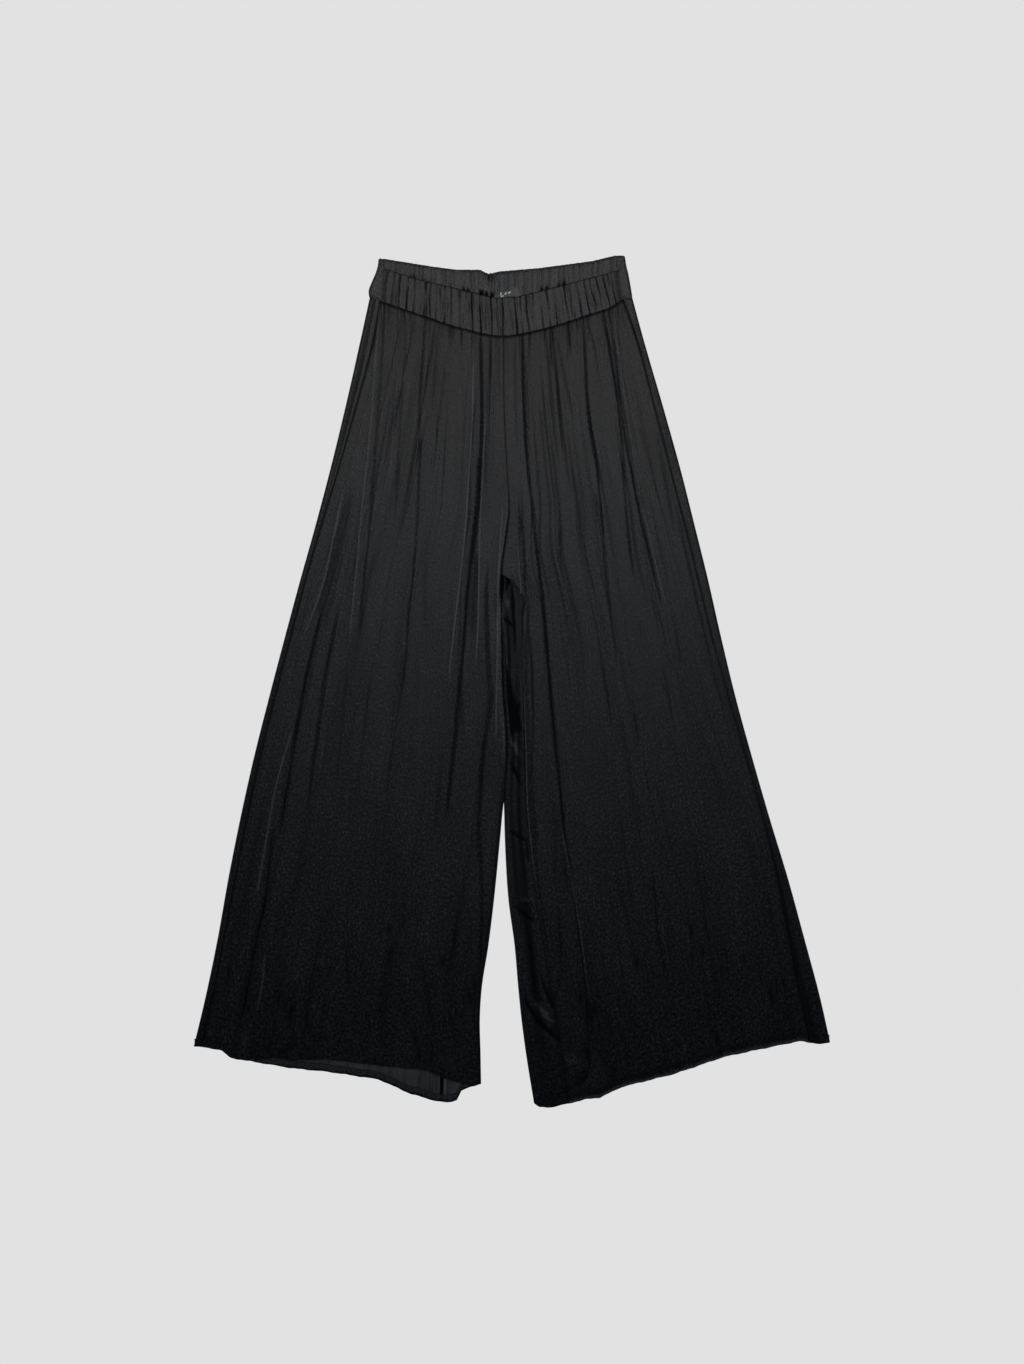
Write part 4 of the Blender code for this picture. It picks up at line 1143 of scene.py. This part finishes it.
def dress_right_back(p, x, y, z, top, low):
    """Its inner strip is wrinkled, with the left leg's shadow and the crotch's deepest shade
    painted on it.
    """
    seam = column(LEG_SIDES, 3, y)
    edge = column(LEG_SIDES, 4, y) - side_radius(y)
    side, side_shade = strip_dress(y, low, z, np.abs(x - seam), np.maximum(edge - x, 0), 37, p)
    inner = right_inner(y) + inner_radius(y)
    inseam = right_inseam(y) + LAP
    slight, crinkle_shade = crinkles(np.clip(p - 4, 0, 1), y, 0.030, (-0.46, 0.12), count=60, seed=41)
    rise, dark = wrinkle_relief(STRIP_WRINKLES, x, y)
    over, seamed = stitched(y, low)
    below = soft_step(0.0, 0.01, CROTCH_Y - y)
    keep = soft_step(0.0, 0.003, np.minimum(x - inner, inseam - x)) * below
    strip = np.maximum(z + (rise + slight + over) * keep, LOWEST_TOP)
    strip -= 0.5 * MM * soft_line(inseam - x, LAP) * below
    height = np.where(p < 1, side, np.where(p > 4, strip, z))
    # painted shade: deeper towards the crotch, in the left leg's shadow and in the crotch's pit
    lit = 1.5 * dark + 1.3 * crinkle_shade + seamed - 0.15 - 0.35 * soft_step(0.0, 0.05, y + 0.13)
    shadow = left_of(x, y, (-0.0113, 0.0494), 0.22, 0.001)
    lit = lit + SHADOW_SHADE * shadow * stretch(y, -0.066, 0.01, 0.03, 0.02)
    pit = left_of(x, y, (-0.0019, 0.1269), -0.5, 0.0015)
    lit = lit + PIT_SHADE * pit * soft_step(0.0, 0.006, y - 0.104)
    return height, np.where(p < 1, side_shade, np.where(p > 4, lit, 0.0))


# Waist and hem of the panels: y at a column p and at x

def plain_waist(p, x):
    return seam_y(x)


def left_back_waist(p, x):
    return np.where(p >= 3, seam_y(x), np.where(p >= 1, WAIST_SEAM[0][1], back_seam_y(x)))


def right_back_waist(p, x):
    return np.where(p <= 0, seam_y(x), np.where(p <= 2, WAIST_SEAM[-1][1], back_seam_y(x)))


def ripple(x):
    """A slight wave along a hem."""
    return 0.35 * MM * (np.sin(210.0 * x + 1.0) + 0.7 * np.sin(530.0 * x) * np.sin(47.0 * x))


def left_front_hem(p, x):
    return np.where(p > 2, edge_y(HEM_LEFT_UNDER, x), edge_y(HEM_LEFT_TOP, x)) + ripple(x)


def left_back_hem(p, x):
    return edge_y(HEM_LEFT_BACK, x) + ripple(x + 0.3)


def right_hem(p, x):
    return edge_y(HEM_RIGHT, x) + ripple(x)


def right_back_hem(p, x):
    return right_hem(p, x) + np.where((p > 2) & (p < 3), 0.0025, 0.0)


front_left = panel("front_left_cloth", "leg_front_left", left_front, plain_waist,
                   left_front_hem, segments(300, 10, 8), FRONT_SPANS, dress_left_front)
front_right = panel("front_right_cloth", "leg_front_right", right_front, plain_waist,
                    right_hem, segments(318), FRONT_SPANS, dress_right_front)
back_left = panel("back_left_cloth", "leg_back_left", left_back, left_back_waist,
                  left_back_hem, segments(110, 10, 16), LEFT_BACK_SPANS, dress_left_back)
back_right = panel("back_right_cloth", "leg_back_right", right_back, right_back_waist,
                   right_back_hem, segments(12, 10, 40, 10, 26), RIGHT_BACK_SPANS,
                   dress_right_back)


# ---------------------------------------------------------------- waistband

GATHER_REACH = 0.55 * MM    # half width of a front gather's trough
GATHER_LEAN = 0.03          # how far the gathers right of the centre lean, for 1 from it
FRONT_PUFF = 0.12 * MM      # how far the front band swells between two gathers
SCALLOP = 0.55 * MM         # and how far it hangs over the waist seam there
FULL_PUFF = 0.008           # distance between two gathers from which it swells fully
END_TUCK = 0.6              # depth in millimetres at the band's two ends
BAND_HEIGHT = 0.046
BACK_BAND_HEIGHT = 0.045
BACK_LIFT = 2.0 * MM        # how far the back's rim rises above the points in BACK_TOP
CORNER_DROP = 2.2 * MM      # how far that rim falls at its two corners
BACK_GATHERS = 52
BACK_PUFF = 0.15 * MM
# Deep puckers in the back's rim beside the label: x, and depth in millimetres
NOTCH = ((-0.0335, 1.0), (-0.0290, 1.7), (-0.0245, 1.6), (-0.0200, 0.9))


def hollows(x):
    """How deep the gap between the two waistbands is at x, from 0."""
    deep = np.zeros_like(x)
    for place, half, depth in HOLLOWS:
        deep += depth * np.exp(-((x - place * MM) / (half * MM)) ** 4)
    return deep


def puffs(x, lines, rise):
    """How far a gathered strip swells at x, most of all midway between two lines."""
    i = np.clip(np.searchsorted(lines, x) - 1, 0, len(lines) - 2)
    gap = lines[i + 1] - lines[i]
    t = np.clip((x - lines[i]) / gap, 0, 1)
    return rise * np.minimum(gap / FULL_PUFF, 1.0) * (4 * t * (1 - t)) ** 0.7


def front_band_places(flat_x, share):
    """x and y of the front band's points, and the x of its two side seams."""
    start, end = flat_x[0], flat_x[-1]
    x = np.broadcast_to(flat_x[None, :], share.shape).copy()
    along = (flat_x - start) / (end - start)
    lean = GATHER_LEAN * np.maximum(flat_x - CENTRE_X, 0.0) * soft_step(0.0, 0.025, end - flat_x)
    for _ in range(4):
        y = blend(seam_y(x) + SEAM_GAP / 2, edge_y(FRONT_TOP, x), share)
        low = column(BAND_SIDES, 2, y) + SEAM_GAP / 2
        high = column(BAND_SIDES, 3, y) - SEAM_GAP / 2
        x = blend(low, high, along) - (share - 0.5) * lean
    return x, y, low, high


def front_band_relief(flat_x, share, lines, depths):
    """The placed gathers, each a little bent and uneven, the puffs and many fine creases."""
    random = np.random.default_rng(5)
    relief = np.zeros_like(share)
    for line, depth in zip(lines, depths):
        sway = 0.0006 * np.sin(share * random.uniform(2, 6) + random.uniform(0, 6))
        strong = 0.62 + 0.38 * np.cos(share * random.uniform(2, 6) + random.uniform(0, 6))
        relief -= 0.55 * depth * strong * crest((flat_x[None, :] + sway - line) / GATHER_REACH)
    relief += puffs(flat_x, lines, FRONT_PUFF)[None, :]
    for place in random.uniform(flat_x[0], flat_x[-1], 170):
        middle, half = random.uniform(0.0, 1.0), random.uniform(0.15, 0.6)
        sway = 0.0010 * np.sin(share * random.uniform(2, 6) + random.uniform(0, 6))
        across = (flat_x[None, :] + sway - place) / (random.uniform(0.45, 1.2) * MM)
        depth = random.uniform(-0.40, 0.12) * MM
        relief += depth * soft_line(share - middle, half) * crest(across)
    return relief


def round_off(away, radius):
    """From 0 at a distance of radius to 1 at an edge, as a quarter circle falls."""
    return 1.0 - np.sqrt(1.0 - np.clip(1.0 - away / radius, 0.0, 1.0) ** 2)


def front_band():
    """The front half of the casing, over the back one, rounded at its rim and its seam."""
    columns, rows = 760, 40
    mid_y = 0.498
    start = float(column(BAND_SIDES, 2, mid_y))
    end = float(column(BAND_SIDES, 3, mid_y))
    flat_x = np.linspace(start, end, columns + 1)
    lines = np.array([start] + [place * MM for place, _ in FRONT_GATHERS] + [end])
    depths = np.array([END_TUCK] + [depth for _, depth in FRONT_GATHERS] + [END_TUCK]) * MM
    share = rows_between(((0.12, 8), (0.86, 22), (1.0, 10)))[::-1][:, None]
    share = np.broadcast_to(share, (rows + 1, columns + 1))
    x, y, low, high = front_band_places(flat_x, share)
    relief = front_band_relief(flat_x, share, lines, depths)
    side = soft_step(0.0, 0.008, np.minimum(x - low, high - x))
    from_top, from_seam = (1.0 - share) * BAND_HEIGHT, share * BAND_HEIGHT
    roll = round_off(from_top, 0.0010)
    tuck = round_off(from_seam, 0.0016)
    z = blend(2 * SIDE_RADIUS, BAND_LEVEL, side) + relief * side
    z = np.maximum(z - 0.7 * MM * roll - 0.9 * MM * tuck, 0.0052)
    # painted shade along the rim, deeper at the hollows, in the gathers and where the band tucks
    # in at its seam
    rim_shade = (0.45 + 0.3 * hollows(x)) * soft_line(from_top, 0.0022)
    painted_shading = np.clip(0.8 * relief / MM, -1.3, 0.25) + 0.1 - 1.3 * tuck - rim_shade
    y = y + np.minimum(relief, 0.0) * 0.7 * soft_line(from_top, 0.004)
    y = y - 0.7 * MM * np.minimum(hollows(x), 1.0) * soft_line(from_top, 0.003)
    scallop = puffs(flat_x, lines, SCALLOP)[None, :]
    y = y - (scallop - 0.1 * MM) * soft_line(from_seam, 0.0025)
    return cloth("waistband_front_cloth", x, y, z, painted_shading, CASING, [band_satin, band_satin])


def back_band_places(p, share):
    """x, y and z of the back band, and the x of its two outer edges.

    p runs along the strip on the right from 0, round the right edge from 1, over the
    floor from 2, round the left edge from 3 and along the strip on the left from 4 to 5.
    """
    right_y, left_y = WAIST_SEAM[-1][1], WAIST_SEAM[0][1]
    y_right = blend(right_y + SEAM_GAP / 2, edge_y(BACK_TOP, 0.1406), share)
    y_left = blend(left_y + SEAM_GAP / 2, edge_y(BACK_TOP, -0.1669), share)
    y_seam_right = blend(seam_y(0.1388) + SEAM_GAP / 2, edge_y(FRONT_TOP, 0.1331), share)
    y_seam_left = blend(seam_y(-0.1644) + SEAM_GAP / 2, edge_y(FRONT_TOP, -0.1594), share)
    edge_right = column(BAND_SIDES, 4, y_right)
    edge_left = column(BAND_SIDES, 1, y_left)
    seam_right = column(BAND_SIDES, 3, y_seam_right)
    seam_left = column(BAND_SIDES, 2, y_seam_left)
    radius = SIDE_RADIUS
    right_turn = turn(edge_right, radius, 1, math.pi * np.clip(p - 1, 0, 1))
    left_turn = turn(edge_left, radius, -1, math.pi * (1 - np.clip(p - 3, 0, 1)))
    floor_x = blend(edge_right - radius, edge_left + radius, np.clip(p - 2, 0, 1))
    t_right, t_left = np.clip(p, 0, 1), np.clip(p - 4, 0, 1)
    part = [p <= 1, p <= 2, p <= 3, p <= 4]
    x = np.select(part, [blend(seam_right, edge_right - radius, t_right), right_turn[0],
                         floor_x, left_turn[0]], blend(edge_left + radius, seam_left, t_left))
    floor_y = blend(back_seam_y(floor_x) + SEAM_GAP / 2, edge_y(BACK_TOP, floor_x), share)
    y = np.select(part, [blend(y_seam_right, y_right, t_right), y_right, floor_y, y_left],
                  blend(y_left, y_seam_left, t_left))
    z = np.select(part, [2 * radius, right_turn[1], 0.0, left_turn[1]], 2 * radius)
    return x, y, z, edge_left, edge_right


def back_band_ribs(x, share):
    """Height of the back's gathers, and of the deep puckers in its rim."""
    random = np.random.default_rng(9)
    lines = np.linspace(-0.172, 0.146, BACK_GATHERS) + random.normal(0.0, 0.0014, BACK_GATHERS)
    depths = random.uniform(0.15, 0.8, BACK_GATHERS) * MM
    ribs = np.zeros_like(x)
    for line, depth in zip(lines, depths):
        ribs -= depth * crest((x - line) / 0.0007)
    ribs += puffs(x, lines, BACK_PUFF)
    for place, depth in NOTCH:
        ribs -= depth * MM * crest((x - place) / 0.0009) * soft_step(0.76, 0.96, share)
    return ribs


def back_band():
    """The back half of the casing: on the floor, and rolled over both sides."""
    rows = 28
    share = rows_between(((0.1, 6), (0.84, 14), (1.0, 8)))[::-1][:, None]
    columns = segments(6, 8, 300, 8, 6)
    p = np.broadcast_to(columns[None, :], (rows + 1, len(columns)))
    share = np.broadcast_to(share, p.shape)
    x, y, z, edge_left, edge_right = back_band_places(p, share)
    ribs = back_band_ribs(x, share)
    from_top = (1.0 - share) * BACK_BAND_HEIGHT
    roll = np.clip(1.0 - from_top / 0.003, 0.0, 1.0) ** 2
    on_floor = (p > 2) & (p < 3)
    y = y + np.where(on_floor, np.minimum(ribs, 0.0) * 0.8 * soft_line(from_top, 0.004), 0)
    corner = np.minimum(edge_right - x, x - edge_left)
    y = y - CORNER_DROP * np.clip(1.0 - corner / 0.007, 0.0, 1.0) ** 2 * share ** 3
    y = y + BACK_LIFT * share ** 3
    thickness = np.where(on_floor, 0.66 + ribs / BACK_CASING * 0.85, 0.66) - 0.25 * roll
    slant = np.sin(y * 800.0 + x * 380.0) + 0.6 * np.sin(y * 1500.0 - x * 500.0)
    wrinkled = np.where((p <= 1) | (p >= 4), slant * 0.2 * MM, 0.0)
    above = np.maximum(y - edge_y(FRONT_TOP, x), 0.0)
    # painted shade where the front band stands off this one, in the gathers, along the side
    # wrinkles and at the rolled rim
    dark = np.where(on_floor, hollows(x) * soft_line(above, 0.0042), 0.0)
    plain = np.where(on_floor, np.clip(ribs / MM, -1.5, 0.2) * 0.8, slant * 0.25)
    painted_shading = plain + 0.42 - 0.2 * roll - 2.4 * dark
    return cloth("waistband_back_cloth", x, y, z + wrinkled, painted_shading, BACK_CASING,
                 [band_satin, band_satin], np.clip(thickness, 0.2, 1.0))


band_front = front_band()
band_back = back_band()
for piece, node in ((band_front, "waistband_front"), (band_back, "waistband_back")):
    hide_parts(node)
    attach(piece, "root")


# ---------------------------------------------------------------- label

LABEL_SIZE = (0.032, 0.014)
LABEL_CENTRE = (-0.0056, 0.4815)
LABEL_TURN = math.radians(23.0)
LABEL_LEVEL = 0.0029
LABEL_CURL = 0.5 * MM       # how far the label's two ends rise
STITCH_RADIUS = 0.95 * MM
STITCH_LENGTH = 3.6 * MM
STITCH_LIFT = 0.4 * MM      # height of a stitch above the label
STITCH_DROP = 0.4 * MM      # how far it sinks 1.5 mm from its middle


def make_label():
    """A bare woven label, slightly curled, lying inside the back waistband."""
    across = np.linspace(-0.5, 0.5, 33) * LABEL_SIZE[0]
    along = np.linspace(0.5, -0.5, 17) * LABEL_SIZE[1]
    u, v = np.meshgrid(across, along)
    x = LABEL_CENTRE[0] + u * math.cos(LABEL_TURN) - v * math.sin(LABEL_TURN)
    y = LABEL_CENTRE[1] + u * math.sin(LABEL_TURN) + v * math.cos(LABEL_TURN)
    z = LABEL_LEVEL + LABEL_CURL * (u / LABEL_SIZE[0] * 2) ** 2 + 0.15 * MM * np.sin(u * 700)
    return cloth("label_tape_piece", x, y, z, np.zeros_like(x), TAPE, [tape])


def make_stitch():
    """One tacking stitch: a short arched thread, rounded at its ends."""
    bpy.ops.object.select_all(action="DESELECT")
    bpy.ops.mesh.primitive_cylinder_add(vertices=12, radius=STITCH_RADIUS, depth=STITCH_LENGTH,
                                        end_fill_type="NGON", rotation=(0.0, math.pi / 2, 0.0))
    stitch = bpy.context.object
    bpy.ops.object.transform_apply(location=False, rotation=True, scale=False)
    bevel = stitch.modifiers.new("ends", "BEVEL")
    bevel.width = 0.25 * MM
    bevel.segments = 3
    bpy.ops.object.modifier_apply(modifier="ends")
    bpy.ops.object.mode_set(mode="EDIT")
    bpy.ops.mesh.select_all(action="SELECT")
    bpy.ops.mesh.subdivide(number_cuts=3)
    bpy.ops.object.mode_set(mode="OBJECT")
    for vertex in stitch.data.vertices:
        vertex.co.z -= STITCH_DROP * (vertex.co.x / (1.5 * MM)) ** 2
    bpy.ops.object.shade_smooth()
    return stitch


# Stitches that hold the label's upper edge: x, y in millimetres, and turn in degrees
STITCHES = ((-13.9, 485.2, 70.0), (-12.3, 482.4, 10.0), (-8.0, 485.8, 60.0), (-3.3, 487.0, 35.0))


def sewn_label():
    """The label and the stitches that hold it, each a copy of one stitch."""
    tape_piece = make_label()
    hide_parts("label")
    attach(tape_piece, "root")
    first = make_stitch()
    for number, (x, y, angle) in enumerate(STITCHES, 1):
        stitch = first.copy()
        stitch.data = first.data.copy()
        stitch.name = stitch.data.name = f"label_stitch_{number}"
        bpy.context.scene.collection.objects.link(stitch)
        way = math.radians(angle)
        for vertex in stitch.data.vertices:
            along, side, up = vertex.co
            vertex.co = (x * MM + along * math.cos(way) - side * math.sin(way),
                         y * MM + along * math.sin(way) + side * math.cos(way),
                         LABEL_LEVEL + STITCH_LIFT + up)
        stitch.data.materials.append(pale_thread)
        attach(stitch, "root")
    bpy.data.objects.remove(first)
    return tape_piece


label = sewn_label()

# ---------------------------------------------------------------- floor, light, camera

bpy.ops.object.select_all(action="DESELECT")
bpy.ops.mesh.primitive_plane_add(size=60.0, location=(0.0, 0.0, -0.0003))
floor = bpy.context.object
floor.name = "floor"
BACKGROUND = 0.76    # how bright the floor and the backdrop are, whatever the light
pale = Finish(bpy.data.materials.new("pale_floor"))
pale.set(Base_Color=(0.0, 0.0, 0.0, 1.0), Roughness=1.0, Specular_IOR_Level=0.0,
         Emission_Color=(BACKGROUND, BACKGROUND, BACKGROUND, 1.0), Emission_Strength=1.0)
floor.data.materials.append(pale.owner)
bpy.ops.mesh.primitive_uv_sphere_add(segments=48, ring_count=24, radius=42.0)
backdrop = bpy.context.object
backdrop.name = "backdrop"
backdrop.data.materials.append(pale.owner)
for stage in (floor, backdrop):
    stage.visible_diffuse = stage.visible_glossy = stage.visible_shadow = False


def area_light(name, place, aim, size, energy, spread, colour):
    """A rectangular light at place, turned towards aim, with its spread in degrees."""
    data = bpy.data.lights.new(name, "AREA")
    data.shape = "RECTANGLE"
    data.size, data.size_y = size
    data.energy = energy
    data.spread = math.radians(spread)
    data.color = colour
    light = bpy.data.objects.new(name, data)
    bpy.context.scene.collection.objects.link(light)
    light.location = place
    way = [b - a for a, b in zip(place, aim)]
    reach = math.hypot(way[0], way[1])
    light.rotation_euler = (math.atan2(reach, -way[2]), 0.0, math.atan2(-way[0], way[1]))


# A window over the waistband, which leaves the hems in shade, and a faint blue light
# over the knees
area_light("window", place=(0.0, 0.61, 1.93), aim=(0.0, 0.50, 0.0), size=(1.4, 0.6),
           energy=2.66, spread=71.0, colour=(1.0, 0.995, 0.985))
area_light("sky_fill", place=(0.0, -0.05, 1.9), aim=(0.0, -0.05, 0.0), size=(0.5, 0.5),
           energy=0.045, spread=50.0, colour=(0.05, 0.5, 1.0))

# The room's light is pale low down and black overhead, so that it shows from the sides
# and barely from above
LOW_LIGHT = (0.72, 0.84, 1.0, 1.0)
ROOM = ((0.0, LOW_LIGHT), (0.5, LOW_LIGHT), (0.75, (0.0, 0.0, 0.0, 1.0)))
world = bpy.context.scene.world or bpy.data.worlds.new("room")
bpy.context.scene.world = world
room = Finish(world, "Background")
height = room.node("ShaderNodeSeparateXYZ", {}, {"Vector": room.place("Generated")}, "Z")
room.set(Color=room.ramp(ROOM, height), Strength=0.30)

bpy.context.scene.view_settings.view_transform = "Standard"
camera_data = bpy.data.cameras.new("camera")
camera_data.lens = 85.0
camera_data.sensor_width = 36.0
camera_data.clip_end = 100.0
camera = bpy.data.objects.new("camera", camera_data)
camera.location = (0.0, 0.0, 4.031)    # straight above; the cloth shows 1.25 mm to a pixel
bpy.context.scene.collection.objects.link(camera)
bpy.context.scene.camera = camera
